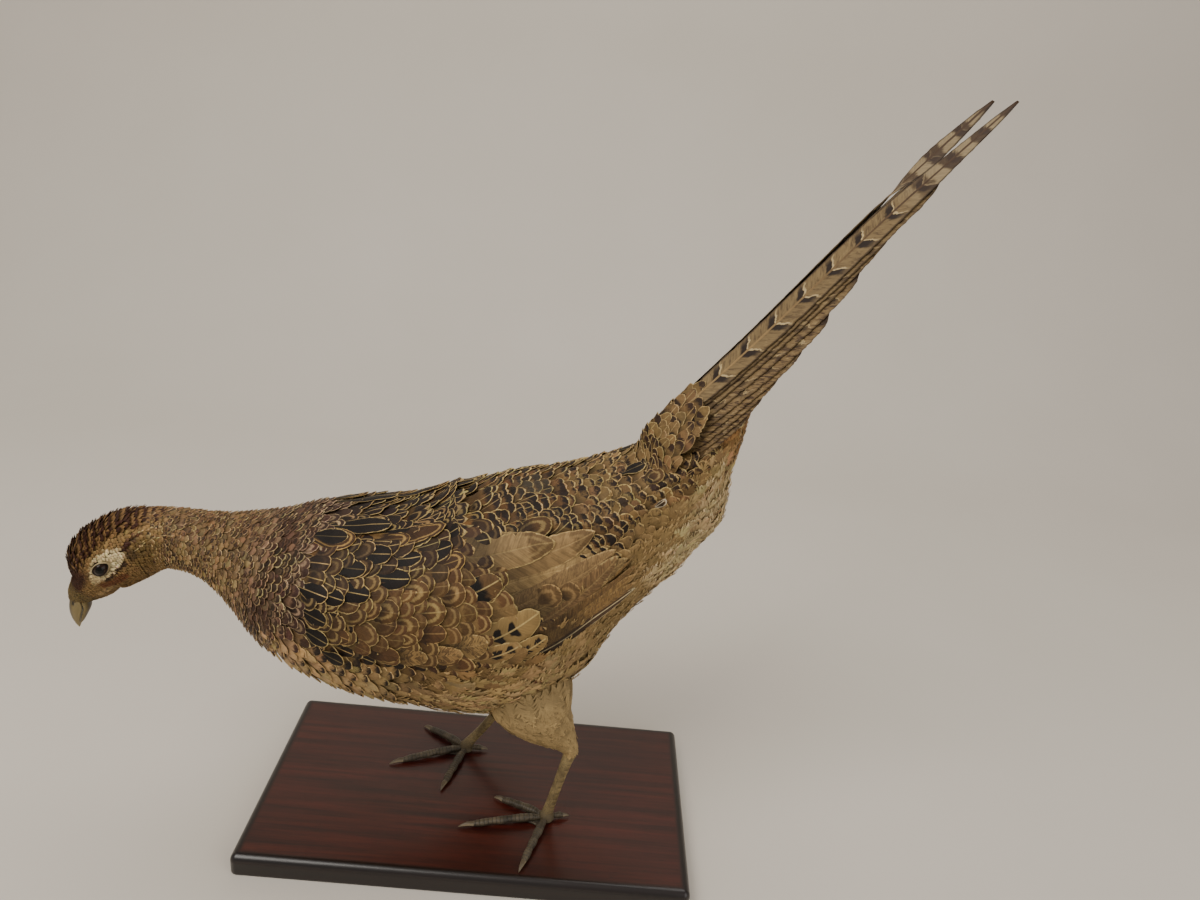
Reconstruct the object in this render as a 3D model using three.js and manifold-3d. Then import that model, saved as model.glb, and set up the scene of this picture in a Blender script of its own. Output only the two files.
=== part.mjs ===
// A standing hen pheasant, mounted life-size on a low rectangular plinth.
// Millimetres, +Z up. Origin: centre of the plinth's underside. The bird faces -X.
import * as THREE from "three";
import Module from "manifold-3d";

const wasm = await Module();
wasm.setup();

// ---- driving dimensions -------------------------------------------------
const DEG = Math.PI / 180;
const GAP = 0.3; // clearance between neighbouring parts
const PLINTH_LENGTH = 260;
const PLINTH_DEPTH = 139.5;
const PLINTH_HEIGHT = 13.1;
const PLINTH_ROUND = 4.6; // radius of the rounded-over top edge
const PLINTH_CORNER = 4; // corner radius seen from above
const HEADING = 8; // the bird's axis is turned by this much on the plinth
const STANCE = [15.95, 3.53]; // point on the plinth midway between the feet
const FOOT_HALF_SPREAD = [24.5, -30.7]; // left foot from the stance point; the right one is its opposite
const TARSUS_TOP = 68.3; // height of the left heel joint
const TOE_RADIUS = 2.7;
const EYE_RADIUS = 4.5;
const EYE_SINK = 2.9; // eye centre below the face
const WING_EDGE = 1.25; // how far a folded wing stands out at its border
const FEATHER_THICK = 0.8;
const FEATHER_PITCH = 1.25; // spacing of the stacked tail feathers
const TAIL_PITCH_UP = 52; // slope of the tail
const TAIL_ROOF = 33; // each half of the tail slopes away from the ridge
const TAIL_ROOT = [85, 0, 255];

// ---- the body as stations along its spine -------------------------------
// x, y, z of the spine, then half-heights above and below it and half-width
const SPINE = [
  [-228.9, -12.5, 157.5, 6.4, 6.6, 6.2], // bill base
  [-222.7, -11.6, 166.2, 9.9, 13.3, 11.0], // lores
  [-216.7, -10.0, 175.5, 17.6, 18.1, 15.2], // eyes
  [-202.4, -7.0, 184.4, 18.7, 19.4, 16.3], // back of the head
  [-184.9, -3.6, 187.3, 16.3, 16.3, 16.3], // nape
  [-165.0, -1.2, 181.7, 18.3, 17.2, 21.0], // neck
  [-144.0, 0.0, 174.6, 26.0, 29.4, 32.0], // collar
  [-122.0, 0.0, 166.4, 41.2, 43.8, 44.0], // breast
  [-92.0, 0.0, 156.8, 51.2, 53.4, 53.0], // shoulders
  [-54.0, 0.0, 151.6, 58.4, 60.6, 57.0],
  [-12.0, 0.0, 159.0, 64.2, 72.0, 57.5], // belly
  [26.0, 0.0, 187.2, 53.6, 51.6, 48.0], // rump
  [56.0, 0.0, 217.8, 28.6, 50.2, 35.5], // vent
  [80.0, 0.0, 241.5, 12.0, 39.5, 27.5], // tail root
  [97.0, 0.0, 260.0, 7.0, 22.0, 20.0],
  [114.0, 0.0, 285.0, 4.0, 6.5, 9.0], // under-tail coverts
];
const SECTION_POWER = 2.15; // a section slightly fuller than an ellipse
const HEAD_END = 3.45;
const NECK_END = 6.45;

const V = (x, y, z) => new THREE.Vector3(x, y, z);

// Smooth curve through equally spaced rows of numbers
function curve(rows, t) {
  const last = rows.length - 1;
  const c = Math.min(Math.max(t, 0), last - 1e-9);
  const i = Math.floor(c);
  const u = c - i;
  const at = (k) =>
    k < 0
      ? rows[0].map((v, j) => 2 * v - rows[1][j])
      : k > last
        ? rows[last].map((v, j) => 2 * v - rows[last - 1][j])
        : rows[k];
  const [a, b, d, e] = [at(i - 1), at(i), at(i + 1), at(i + 2)];
  return b.map(
    (v, j) =>
      0.5 *
      (2 * v +
        (d[j] - a[j]) * u +
        (2 * a[j] - 5 * v + 4 * d[j] - e[j]) * u * u +
        (3 * v - a[j] - 3 * d[j] + e[j]) * u * u * u),
  );
}

function spineFrame(t) {
  const p = curve(SPINE, t);
  const e = 1e-3;
  const a = curve(SPINE, t - e);
  const b = curve(SPINE, t + e);
  const along = V(b[0] - a[0], b[1] - a[1], b[2] - a[2]).normalize();
  const side = V(0, 1, 0).addScaledVector(along, -along.y).normalize();
  const up = new THREE.Vector3().crossVectors(along, side);
  return { p: V(p[0], p[1], p[2]), along, side, up, above: p[3], below: p[4], half: p[5] };
}

// A point on the body: phi runs from the back (0) to the right side (90) and the belly (180)
function bodyPoint(t, phi, grow = 0, shift = 0) {
  const f = spineFrame(t);
  const c = Math.cos(phi);
  const s = Math.sin(phi);
  const k = 2 / SECTION_POWER;
  const cc = Math.sign(c) * Math.abs(c) ** k;
  const ss = Math.sign(s) * Math.abs(s) ** k;
  const h = (c > 0 ? f.above : f.below) + grow;
  return f.p
    .clone()
    .addScaledVector(f.up, h * cc)
    .addScaledVector(f.side, (f.half + grow) * ss)
    .addScaledVector(f.along, shift);
}

// ---- making solids ------------------------------------------------------
function solid(points, faces) {
  const position = new Float32Array(points.flatMap((p) => [p.x, p.y, p.z]));
  let volume = 0;
  for (const [a, b, c] of faces)
    volume += points[a].dot(new THREE.Vector3().crossVectors(points[b], points[c]));
  const index = faces.flatMap(([a, b, c]) => (volume < 0 ? [a, c, b] : [a, b, c]));
  const g = new THREE.BufferGeometry();
  g.setAttribute("position", new THREE.BufferAttribute(position, 3));
  g.setIndex(index);
  return g;
}

// A closed skin over a row of rings with the same number of points
function loft(rings) {
  const n = rings[0].length;
  const points = rings.flat();
  const faces = [];
  for (let i = 0; i + 1 < rings.length; i++)
    for (let j = 0; j < n; j++) {
      const a = i * n + j;
      const b = i * n + ((j + 1) % n);
      faces.push([a, a + n, b], [b, a + n, b + n]);
    }
  for (const [start, flip] of [
    [0, false],
    [(rings.length - 1) * n, true],
  ]) {
    const centre = V(0, 0, 0);
    for (let j = 0; j < n; j++) centre.add(points[start + j]);
    points.push(centre.divideScalar(n));
    for (let j = 0; j < n; j++) {
      const a = start + j;
      const b = start + ((j + 1) % n);
      faces.push(flip ? [points.length - 1, b, a] : [points.length - 1, a, b]);
    }
  }
  return solid(points, faces);
}

function bodyLoft(t0, t1, steps, sides, grow = 0, shift0 = 0, shift1 = 0) {
  const rings = [];
  for (let i = 0; i <= steps; i++) {
    const t = t0 + ((t1 - t0) * i) / steps;
    const shift = i === 0 ? shift0 : i === steps ? shift1 : 0;
    rings.push(
      Array.from({ length: sides }, (_, j) => bodyPoint(t, (2 * Math.PI * j) / sides, grow, shift)),
    );
  }
  return loft(rings);
}

// A tube through centres with half-widths across and up; up may lean
function limb(stations, sides, across = V(0, 1, 0)) {
  const rings = stations.map((s, i) => {
    const a = stations[Math.max(0, i - 1)].at;
    const b = stations[Math.min(stations.length - 1, i + 1)].at;
    const along = s.along ?? b.clone().sub(a).normalize();
    const side = across.clone().addScaledVector(along, -across.dot(along)).normalize();
    const up = new THREE.Vector3().crossVectors(along, side);
    return Array.from({ length: sides }, (_, j) => {
      const q = (2 * Math.PI * j) / sides;
      return s.at
        .clone()
        .addScaledVector(side, s.wide * Math.cos(q))
        .addScaledVector(up, s.deep * Math.sin(q));
    });
  });
  return loft(rings);
}

function toSolid(geometry) {
  return new wasm.Manifold(
    new wasm.Mesh({
      numProp: 3,
      vertProperties: new Float32Array(geometry.attributes.position.array),
      triVerts: new Uint32Array(geometry.index.array),
    }),
  );
}

function fromSolid(body) {
  const mesh = body.getMesh();
  const g = new THREE.BufferGeometry();
  const count = mesh.numProp;
  const flat = [];
  for (let i = 0; i < mesh.vertProperties.length / count; i++)
    flat.push(mesh.vertProperties[i * count], mesh.vertProperties[i * count + 1], mesh.vertProperties[i * count + 2]);
  g.setAttribute("position", new THREE.BufferAttribute(new Float32Array(flat), 3));
  g.setIndex(Array.from(mesh.triVerts));
  return g;
}

const cut = (geometry, ...cutters) =>
  fromSolid(cutters.reduce((a, b) => a.subtract(toSolid(b)), toSolid(geometry)));

// ---- model --------------------------------------------------------------
const model = new THREE.Group();
const bird = new THREE.Group();
bird.position.set(STANCE[0], STANCE[1], 0);
bird.rotation.z = HEADING * DEG;
model.add(bird);

const COLOURS = {
  plumage: 0x8a7350,
  bill: 0x9a8f6c,
  eye: 0x1b120c,
  feather: 0x84704c,
  leg: 0x8f8158,
  toe: 0x5b5244,
  claw: 0xa89a78,
  plinth: 0x4a1d14,
};

function add(group, name, geometry, look, roughness = 0.7) {
  const material = new THREE.MeshStandardMaterial({ color: COLOURS[look], roughness });
  const mesh = new THREE.Mesh(geometry, material);
  mesh.name = name;
  group.add(mesh);
}

// Plinth: a rounded rectangle with a rounded-over top edge
function plinth() {
  const ring = (inset, z) => {
    const out = [];
    const x = PLINTH_LENGTH / 2 - PLINTH_CORNER;
    const y = PLINTH_DEPTH / 2 - PLINTH_CORNER;
    for (const [sx, sy, from] of [
      [1, 1, 0],
      [-1, 1, 90],
      [-1, -1, 180],
      [1, -1, 270],
    ])
      for (let k = 0; k <= 3; k++) {
        const q = (from + k * 30) * DEG;
        const r = Math.max(PLINTH_CORNER - inset, 0.4);
        const extra = Math.min(PLINTH_CORNER - inset - r, 0);
        out.push(V(sx * (x + extra) + r * Math.cos(q), sy * (y + extra) + r * Math.sin(q), z));
      }
    return out;
  };
  const rings = [ring(0.4, 0), ring(0, 0.4)];
  for (let k = 0; k <= 5; k++) {
    const q = k * 18 * DEG;
    rings.push(
      ring(PLINTH_ROUND * (1 - Math.cos(q)), PLINTH_HEIGHT - PLINTH_ROUND * (1 - Math.sin(q))),
    );
  }
  return loft(rings);
}
add(model, "plinth", plinth(), "plinth", 0.35);

// Eyes, set into sockets on both sides of the head
const EYE_STATION = 2.22;
const EYE_ANGLE = 88.9;
function eyeCentre(side) {
  const p = bodyPoint(EYE_STATION, side * EYE_ANGLE * DEG, -EYE_SINK);
  return p;
}
function ball(centre, radius, columns, rows) {
  const g = new THREE.SphereGeometry(radius, columns, rows);
  const points = [];
  const faces = [];
  const across = g.attributes.position;
  const key = new Map();
  const id = Array.from({ length: across.count }, (_, i) => {
    const p = V(across.getX(i), across.getY(i), across.getZ(i));
    const k = [p.x, p.y, p.z].map((v) => Math.round(v * 1e4) + 0).join();
    if (!key.has(k)) {
      key.set(k, points.length);
      points.push(p.add(centre));
    }
    return key.get(k);
  });
  const index = g.index.array;
  for (let i = 0; i < index.length; i += 3) {
    const f = [id[index[i]], id[index[i + 1]], id[index[i + 2]]];
    if (f[0] !== f[1] && f[1] !== f[2] && f[2] !== f[0]) faces.push(f);
  }
  return solid(points, faces);
}

const head = cut(
  bodyLoft(0, HEAD_END, 11, 22, 0, 0, -GAP / 2),
  ball(eyeCentre(-1), EYE_RADIUS + GAP, 14, 10),
  ball(eyeCentre(1), EYE_RADIUS + GAP, 14, 10),
);
add(bird, "head", head, "plumage");
add(bird, "eye_left", ball(eyeCentre(-1), EYE_RADIUS, 14, 10), "eye", 0.1);
add(bird, "eye_right", ball(eyeCentre(1), EYE_RADIUS, 14, 10), "eye", 0.1);

// Bill: each half from its base to its tip as [ridge x, z, mouth line x, z, half-width]
const BILL_Y = [-12.6, -14.6];
const UPPER_BILL = [
  [-234.0, 155.0, -226.9, 151.6, 5.0],
  [-234.6, 149.5, -228.2, 147.3, 4.3],
  [-234.0, 145.2, -229.2, 143.6, 3.2],
  [-232.6, 141.6, -229.9, 140.8, 1.9],
  [-231.0, 138.9, -230.3, 138.8, 0.5],
];
const LOWER_BILL = [
  [-224.2, 150.3, -226.4, 151.4, 4.3],
  [-226.0, 146.3, -227.7, 147.1, 3.4],
  [-227.6, 143.3, -228.7, 143.6, 2.3],
  [-229.0, 141.4, -229.3, 141.5, 0.5],
];
function billHalf(rows, ridge, mouth, halfWidth) {
  const f = spineFrame(0);
  const base = f.p.clone().addScaledVector(f.along, -GAP);
  const all = [
    [base.clone().addScaledVector(f.up, ridge), base.clone().addScaledVector(f.up, mouth), halfWidth],
    ...rows.map(([rx, rz, mx, mz, w], i) => {
      const y = BILL_Y[0] + ((BILL_Y[1] - BILL_Y[0]) * (i + 1)) / rows.length;
      return [V(rx, y, rz), V(mx, y, mz), w];
    }),
  ];
  return loft(
    all.map(([top, line, w]) => {
      const ring = [];
      for (let k = 0; k <= 8; k++) {
        const q = (k * 22.5 - 90) * DEG;
        ring.push(line.clone().lerp(top, Math.cos(q)).addScaledVector(f.side, w * Math.sin(q)));
      }
      ring.push(line.clone().lerp(top, 0.02));
      return ring;
    }),
  );
}
add(bird, "bill_upper", billHalf(UPPER_BILL, 4.4, -1.9, 5.5), "bill", 0.45);
add(bird, "bill_lower", billHalf(LOWER_BILL, -6.2, -2.3, 5.0), "bill", 0.45);

// Neck
add(
  bird,
  "neck",
  bodyLoft(HEAD_END, NECK_END, 9, 22, 0, GAP / 2, -GAP / 2),
  "plumage",
);

// A closed slab between an outer and an inner grid of points
function slab(outer, inner) {
  const nu = outer.length;
  const nv = outer[0].length;
  const points = [...outer.flat(), ...inner.flat()];
  const o = (i, j) => i * nv + j;
  const n = (i, j) => nu * nv + i * nv + j;
  const faces = [];
  const quad = (a, b, c, d) => faces.push([a, b, c], [a, c, d]);
  for (let i = 0; i + 1 < nu; i++)
    for (let j = 0; j + 1 < nv; j++) {
      quad(o(i, j), o(i + 1, j), o(i + 1, j + 1), o(i, j + 1));
      quad(n(i, j), n(i, j + 1), n(i + 1, j + 1), n(i + 1, j));
    }
  for (let i = 0; i + 1 < nu; i++) {
    quad(o(i, 0), n(i, 0), n(i + 1, 0), o(i + 1, 0));
    quad(o(i, nv - 1), o(i + 1, nv - 1), n(i + 1, nv - 1), n(i, nv - 1));
  }
  for (let j = 0; j + 1 < nv; j++) {
    quad(o(0, j), o(0, j + 1), n(0, j + 1), n(0, j));
    quad(o(nu - 1, j), n(nu - 1, j), n(nu - 1, j + 1), o(nu - 1, j + 1));
  }
  return solid(points, faces);
}

// Folded wings: from wrist to tip, [upper border, lower border (degrees from the back), depth let into the side, fullness outside, tip lift]
const WING_START = 6.95;
const WING_LENGTH = 5.2;
const WING = [
  [38, 76, 1.0, 0.6, 0],
  [28, 88, 5.0, 1.2, 0],
  [22, 92, 6.5, 1.5, 0],
  [20, 94, 7.0, 1.5, 0],
  [22, 97, 6.0, 1.3, 0],
  [31, 101, 4.2, 1.0, 0.4],
  [48, 103, 2.2, 0.7, 1.6],
  [72, 100, 0.6, 0.4, 3.6],
];
function wing(side, pocket) {
  const NU = 15;
  const NV = 7;
  const eu = pocket ? 0.006 : 0;
  const ev = pocket ? 0.012 : 0;
  const outer = [];
  const inner = [];
  for (let i = 0; i <= NU; i++) {
    const u = -eu + ((1 + 2 * eu) * i) / NU;
    const [top, low, depth, full, lift] = curve(WING, u * (WING.length - 1));
    const a = [];
    const b = [];
    for (let j = 0; j <= NV; j++) {
      const v = -ev + ((1 + 2 * ev) * j) / NV;
      const mid = Math.sin(Math.PI * Math.min(Math.max(v, 0), 1)) ** 0.7;
      const t = WING_START + WING_LENGTH * u - 0.35 * v * u;
      const phi = side * (top + (low - top) * v) * DEG;
      const out = pocket ? 14 : WING_EDGE + full * mid + lift;
      a.push(bodyPoint(t, phi, out));
      b.push(bodyPoint(t, phi, -depth * mid + lift * 0.9 - (pocket ? GAP : 0)));
    }
    outer.push(a);
    inner.push(b);
  }
  return slab(outer, inner);
}
add(bird, "wing_left", wing(-1, false), "feather");
add(bird, "wing_right", wing(1, false), "feather");

// Tail: feathers in pairs, stacked under a ridge; [tip along the tail, slope distance of root and tip from the ridge, half-width]
const TAIL_START = -13.6;
const TAIL = [
  [231, 7.2, 11.4, 7.8],
  [183, 7.8, 12.6, 8.0],
  [150.5, 10.2, 13.8, 7.8],
  [124, 12.7, 18.2, 7.6],
  [99, 15.7, 22.4, 7.6],
  [79, 18.7, 23.8, 7.4],
  [61, 21.4, 24.6, 7.2],
  [48, 23.8, 25.8, 7.0],
  [35.5, 26.2, 27.2, 6.8],
];
const TAIL_FAR_TIP = [228, 6.4]; // the right middle feather parts from the left one
const RIDGE_HEIGHT = 21.2;
const RIDGE_FALL = 0.0535;
const RIDGE_CREST = 4.2; // the ridge arches up a little beyond the coverts
const tailAlong = V(Math.cos(TAIL_PITCH_UP * DEG), 0, Math.sin(TAIL_PITCH_UP * DEG));
const tailUp = V(-Math.sin(TAIL_PITCH_UP * DEG), 0, Math.cos(TAIL_PITCH_UP * DEG));
// a along the tail, w down one slope from the ridge, k below the top layer
function tailPoint(side, a, w, k) {
  const r = TAIL_ROOF * DEG;
  const c = Math.min(Math.max((a - 40) / 130, 0), 1);
  const ridge = RIDGE_HEIGHT - RIDGE_FALL * (a - TAIL_START) + RIDGE_CREST * c * c * (3 - 2 * c);
  return V(...TAIL_ROOT)
    .addScaledVector(tailAlong, a)
    .addScaledVector(tailUp, ridge - w * Math.sin(r) - k * Math.cos(r))
    .add(V(0, side * (w * Math.cos(r) - k * Math.sin(r)), 0));
}
function tailFeather(pair, side) {
  const [tip, rootOff, nearOff, half] = TAIL[pair];
  const far = side > 0 && pair === 0;
  const k = pair * FEATHER_PITCH;
  const end = far ? TAIL_FAR_TIP[0] : tip;
  const tipOff = far ? TAIL_FAR_TIP[1] : nearOff;
  const steps = [0, 0.2, 0.42, 0.64, 0.8, 0.9, 0.96, 1];
  const broad =
    pair === 0
      ? [0.7, 0.95, 1, 0.92, 0.72, 0.5, 0.32, 0.14] // the middle pair taper to long points
      : [0.62, 0.9, 1, 0.98, 0.88, 0.68, 0.4, 0.12];
  const outer = [];
  const inner = [];
  const slopeMin = (k * Math.sin(TAIL_ROOF * DEG) + 0.5) / Math.cos(TAIL_ROOF * DEG);
  steps.forEach((q, i) => {
    const a = TAIL_START + (end - TAIL_START) * q;
    const centre = rootOff + (tipOff - rootOff) * q;
    const h = half * broad[i];
    const edge = Math.max(centre - h, slopeMin);
    const mid = Math.max(centre, edge + 0.6);
    const rim = Math.max(centre + h, mid + 0.6);
    outer.push([edge, mid, rim].map((w) => tailPoint(side, a, w, k)));
    inner.push(
      [edge, mid, rim].map((w, j) =>
        tailPoint(side, a, w, k + (j === 1 ? FEATHER_THICK : FEATHER_THICK * 0.75)),
      ),
    );
  });
  return slab(outer, inner);
}
for (let pair = 0; pair < TAIL.length; pair++) {
  add(bird, `tail_left_${pair + 1}`, tailFeather(pair, -1), "feather");
  add(bird, `tail_right_${pair + 1}`, tailFeather(pair, 1), "feather");
}
// The room that the stacked feathers take at the root
function tailRoom() {
  const k = (TAIL.length - 1) * FEATHER_PITCH + FEATHER_THICK + 0.5;
  const ring = (a) => [
    tailPoint(1, a, (k * Math.sin(TAIL_ROOF * DEG)) / Math.cos(TAIL_ROOF * DEG), k),
    tailPoint(1, a, 60, k),
    tailPoint(1, a, 60, -60),
    tailPoint(-1, a, 60, -60),
    tailPoint(-1, a, 60, k),
  ];
  return loft([ring(TAIL_START - GAP), ring(90)]);
}

const trunk = cut(
  bodyLoft(NECK_END, SPINE.length - 1, 24, 24, 0, GAP / 2, 0),
  wing(-1, true),
  wing(1, true),
  tailRoom(),
);
add(bird, "trunk", trunk, "plumage");

// Legs. Left leg as [x, z, across, fore-and-aft]; the right one stands further forward and its shank leans back
const LEGS = {
  left: {
    side: 1,
    thigh: [
      [4, 122, 19, 25],
      [9, 106, 18.5, 25],
      [16, 93, 15, 19.5],
      [24, 82.5, 10, 13],
      [30.5, 74.5, 6.2, 8],
      [34.5, 68.2, 4.4, 5],
      [35.2, 65.2, 3.9, 4.4],
    ],
    shank: [
      [35.0, 64.8, 3.6, 4.2],
      [33.6, 60, 3.0, 3.6],
      [30.4, 46, 2.6, 3.1],
      [27.2, 31, 2.7, 3.1],
      [25.2, 21.5, 3.4, 3.8],
      [24.5, 17.4, 4.8, 5.0],
      [24.5, 14.6, 4.6, 4.8],
      [24.5, PLINTH_HEIGHT + GAP, 3.2, 3.4],
    ],
    toes: {
      middle: [-28.4, -35.0],
      inner: [-6.7, -12.4],
      outer: [6.2, -69.4],
      hind: [37.8, -29.0],
    },
  },
  right: {
    side: -1,
    thigh: [
      [-26, 122, 19, 24],
      [-20, 106, 18, 23],
      [-12, 92, 14, 17],
      [-4, 81, 9, 11.5],
      [1.5, 73.5, 6, 7.4],
      [4.6, 67.6, 4.4, 5],
      [5.2, 64.8, 3.9, 4.4],
    ],
    shank: [
      [5.0, 64.4, 3.6, 4.2],
      [2.6, 59.6, 3.0, 3.6],
      [-4.6, 47, 2.6, 3.1],
      [-13.8, 32.6, 2.6, 3.0],
      [-20.6, 23.4, 3.0, 3.3],
      [-24.3, 17.6, 4.2, 4.3],
      [-24.5, 14.6, 4.6, 4.8],
      [-24.5, PLINTH_HEIGHT + GAP, 3.2, 3.4],
    ],
    toes: {
      middle: [-73.2, 18.1],
      inner: [-39.8, -5.8],
      outer: [-52.9, 53.6],
      hind: [-11.0, 30.0],
    },
  },
};
const bodyRoom = bodyLoft(NECK_END, SPINE.length - 1, 24, 24, GAP);

function toe(foot, tip, kind) {
  const dx = tip[0] - foot[0];
  const dy = tip[1] - foot[1];
  const length = Math.hypot(dx, dy);
  const dir = V(dx / length, dy / length, 0);
  const across = V(-dir.y, dir.x, 0);
  const hind = kind === "hind";
  const base = hind ? 6.2 : 6.0;
  const nail = hind ? 9.8 : length * 0.82;
  const floor = PLINTH_HEIGHT + GAP;
  const rise = hind ? 0.8 : 0;
  const place = (r, z) => V(foot[0], foot[1], 0).addScaledVector(dir, r).add(V(0, 0, floor + z + rise));
  const at = (q, w, d, arch) => ({ at: place(base + (nail - base) * q, d + arch), wide: w, deep: d });
  const R = TOE_RADIUS;
  const stations = hind
    ? [at(0, 1.5, 1.6, 0), at(0.5, 1.9, 1.8, 0.1), at(1, 1.5, 1.5, -0.2)]
    : [
        at(0, R * 0.55, R * 0.7, 0.5),
        at(0.1, R * 0.86, R * 0.9, 0.5),
        at(0.28, R, R * 0.92, 0.5),
        at(0.42, R * 0.84, R * 0.8, 1.0),
        at(0.56, R * 0.96, R * 0.84, 0.4),
        at(0.7, R * 0.78, R * 0.74, 0.7),
        at(0.85, R * 0.86, R * 0.76, 0.1),
        at(1, R * 0.6, R * 0.6, 0),
      ];
  const claw = hind
    ? [
        { at: place(nail + GAP, 1.4), wide: 1.2, deep: 1.2 },
        { at: place(nail + 2.4, 1.2), wide: 0.9, deep: 0.9 },
        { at: place(nail + 4.4, 0.4), wide: 0.35, deep: 0.35 },
      ]
    : [
        { at: place(nail + GAP, 1.75), wide: 1.5, deep: 1.5 },
        { at: place(nail + (length - nail) * 0.35, 2.0), wide: 1.35, deep: 1.35 },
        { at: place(nail + (length - nail) * 0.7, 1.5), wide: 0.95, deep: 0.95 },
        { at: place(length, 0.5), wide: 0.35, deep: 0.35 },
      ];
  stations[stations.length - 1].along = dir;
  claw[0].along = dir;
  return [limb(stations, 10, across), limb(claw, 8, across)];
}

for (const [name, leg] of Object.entries(LEGS)) {
  const y = FOOT_HALF_SPREAD[1] * leg.side;
  // the cut between the feathered leg and the bare shank is level
  const level = (list, i) => (list === leg.thigh ? i === list.length - 1 : i === 0);
  const row = ([x, z, wide, deep], i, list) => ({
    at: V(x, y, z),
    wide,
    deep,
    along: level(list, i) ? V(0, 0, -1) : undefined,
  });
  add(bird, `thigh_${name}`, cut(limb(leg.thigh.map(row), 16), bodyRoom, wing(-leg.side, true)), "plumage");
  add(bird, `tarsus_${name}`, limb(leg.shank.map(row), 12), "leg", 0.5);
  const foot = [FOOT_HALF_SPREAD[0] * leg.side, y];
  for (const [kind, tip] of Object.entries(leg.toes)) {
    const [flesh, claw] = toe(foot, tip, kind);
    add(bird, `toe_${name}_${kind}`, flesh, "toe", 0.55);
    add(bird, `claw_${name}_${kind}`, claw, "claw", 0.4);
  }
}

export default model;
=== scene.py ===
"""Visual model of a mounted hen pheasant on its plinth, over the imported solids."""
import math
import bpy
import numpy as np
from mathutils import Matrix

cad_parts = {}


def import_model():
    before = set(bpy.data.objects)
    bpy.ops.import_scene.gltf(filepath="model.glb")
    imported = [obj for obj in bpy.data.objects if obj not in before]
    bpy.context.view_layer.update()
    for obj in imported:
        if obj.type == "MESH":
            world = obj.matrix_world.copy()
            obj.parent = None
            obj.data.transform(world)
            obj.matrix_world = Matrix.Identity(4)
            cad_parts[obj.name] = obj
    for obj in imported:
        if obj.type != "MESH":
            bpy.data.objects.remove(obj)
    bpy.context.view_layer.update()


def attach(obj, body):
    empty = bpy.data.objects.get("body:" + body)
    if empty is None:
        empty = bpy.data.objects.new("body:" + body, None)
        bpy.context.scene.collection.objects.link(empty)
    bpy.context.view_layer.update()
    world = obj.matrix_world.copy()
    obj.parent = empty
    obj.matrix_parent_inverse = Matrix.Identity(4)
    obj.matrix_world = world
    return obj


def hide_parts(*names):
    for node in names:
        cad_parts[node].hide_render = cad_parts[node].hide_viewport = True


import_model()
RNG = np.random.default_rng(20)
PI = math.pi
DEG = PI / 180

# ---------------------------------------------------------------- dimensions (mm, as in the solids)
HEADING = 8 * DEG
STANCE = np.array([15.95, 3.53, 0.0])
PLINTH = (260.0, 139.5, 13.1)
PLINTH_ROUND, PLINTH_CORNER = 4.6, 4.0
SPINE = np.array([
    [-228.9, -12.5, 157.5, 6.4, 6.6, 6.2],
    [-222.7, -11.6, 166.2, 9.9, 13.3, 11.0],
    [-216.7, -10.0, 175.5, 17.6, 18.1, 15.2],
    [-202.4, -7.0, 184.4, 18.7, 19.4, 16.3],
    [-184.9, -3.6, 187.3, 16.3, 16.3, 16.3],
    [-165.0, -1.2, 181.7, 18.3, 17.2, 21.0],
    [-144.0, 0.0, 174.6, 26.0, 29.4, 32.0],
    [-122.0, 0.0, 166.4, 41.2, 43.8, 44.0],
    [-92.0, 0.0, 156.8, 51.2, 53.4, 53.0],
    [-54.0, 0.0, 151.6, 58.4, 60.6, 57.0],
    [-12.0, 0.0, 159.0, 64.2, 72.0, 57.5],
    [26.0, 0.0, 187.2, 53.6, 51.6, 48.0],
    [56.0, 0.0, 217.8, 28.6, 50.2, 35.5],
    [80.0, 0.0, 241.5, 12.0, 39.5, 27.5],
    [97.0, 0.0, 260.0, 7.0, 22.0, 20.0],
    [114.0, 0.0, 285.0, 4.0, 6.5, 9.0],
])
POWER = 2.15
WING_START, WING_LENGTH, WING_EDGE = 6.95, 5.2, 1.25
WING = np.array([
    [38, 76, 1.0, 0.6, 0], [28, 88, 5.0, 1.2, 0], [22, 92, 6.5, 1.5, 0], [20, 94, 7.0, 1.5, 0],
    [22, 97, 6.0, 1.3, 0], [31, 101, 4.2, 1.0, 0.4], [48, 103, 2.2, 0.7, 1.6], [72, 100, 0.6, 0.4, 3.6],
], float)
EYE_T, EYE_PHI, EYE_R, EYE_SINK = 2.22, 88.9 * DEG, 4.5, 2.9
CH, SH = math.cos(HEADING), math.sin(HEADING)


def world(p):
    """bird's frame in mm -> metres in the part's frame"""
    p = np.asarray(p, float)
    out = np.empty_like(p)
    out[..., 0] = CH * p[..., 0] - SH * p[..., 1] + STANCE[0]
    out[..., 1] = SH * p[..., 0] + CH * p[..., 1] + STANCE[1]
    out[..., 2] = p[..., 2]
    return out / 1000.0


def turn(v):
    v = np.asarray(v, float)
    out = v.copy()
    out[..., 0] = CH * v[..., 0] - SH * v[..., 1]
    out[..., 1] = SH * v[..., 0] + CH * v[..., 1]
    return out


def curve(rows, t):
    rows = np.asarray(rows, float)
    n = len(rows) - 1
    t = np.clip(np.asarray(t, float), 0, n - 1e-9)
    i = np.floor(t).astype(int)
    u = (t - i)[..., None]
    ext = np.vstack([2 * rows[0] - rows[1], rows, 2 * rows[-1] - rows[-2]])
    a, b, d, e = ext[i], ext[i + 1], ext[i + 2], ext[i + 3]
    return 0.5 * (2 * b + (d - a) * u + (2 * a - 5 * b + 4 * d - e) * u ** 2 + (3 * b - a - 3 * d + e) * u ** 3)


def smooth(x, a, b):
    q = np.clip((np.asarray(x, float) - a) / (b - a), 0, 1)
    return q * q * (3 - 2 * q)


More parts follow.
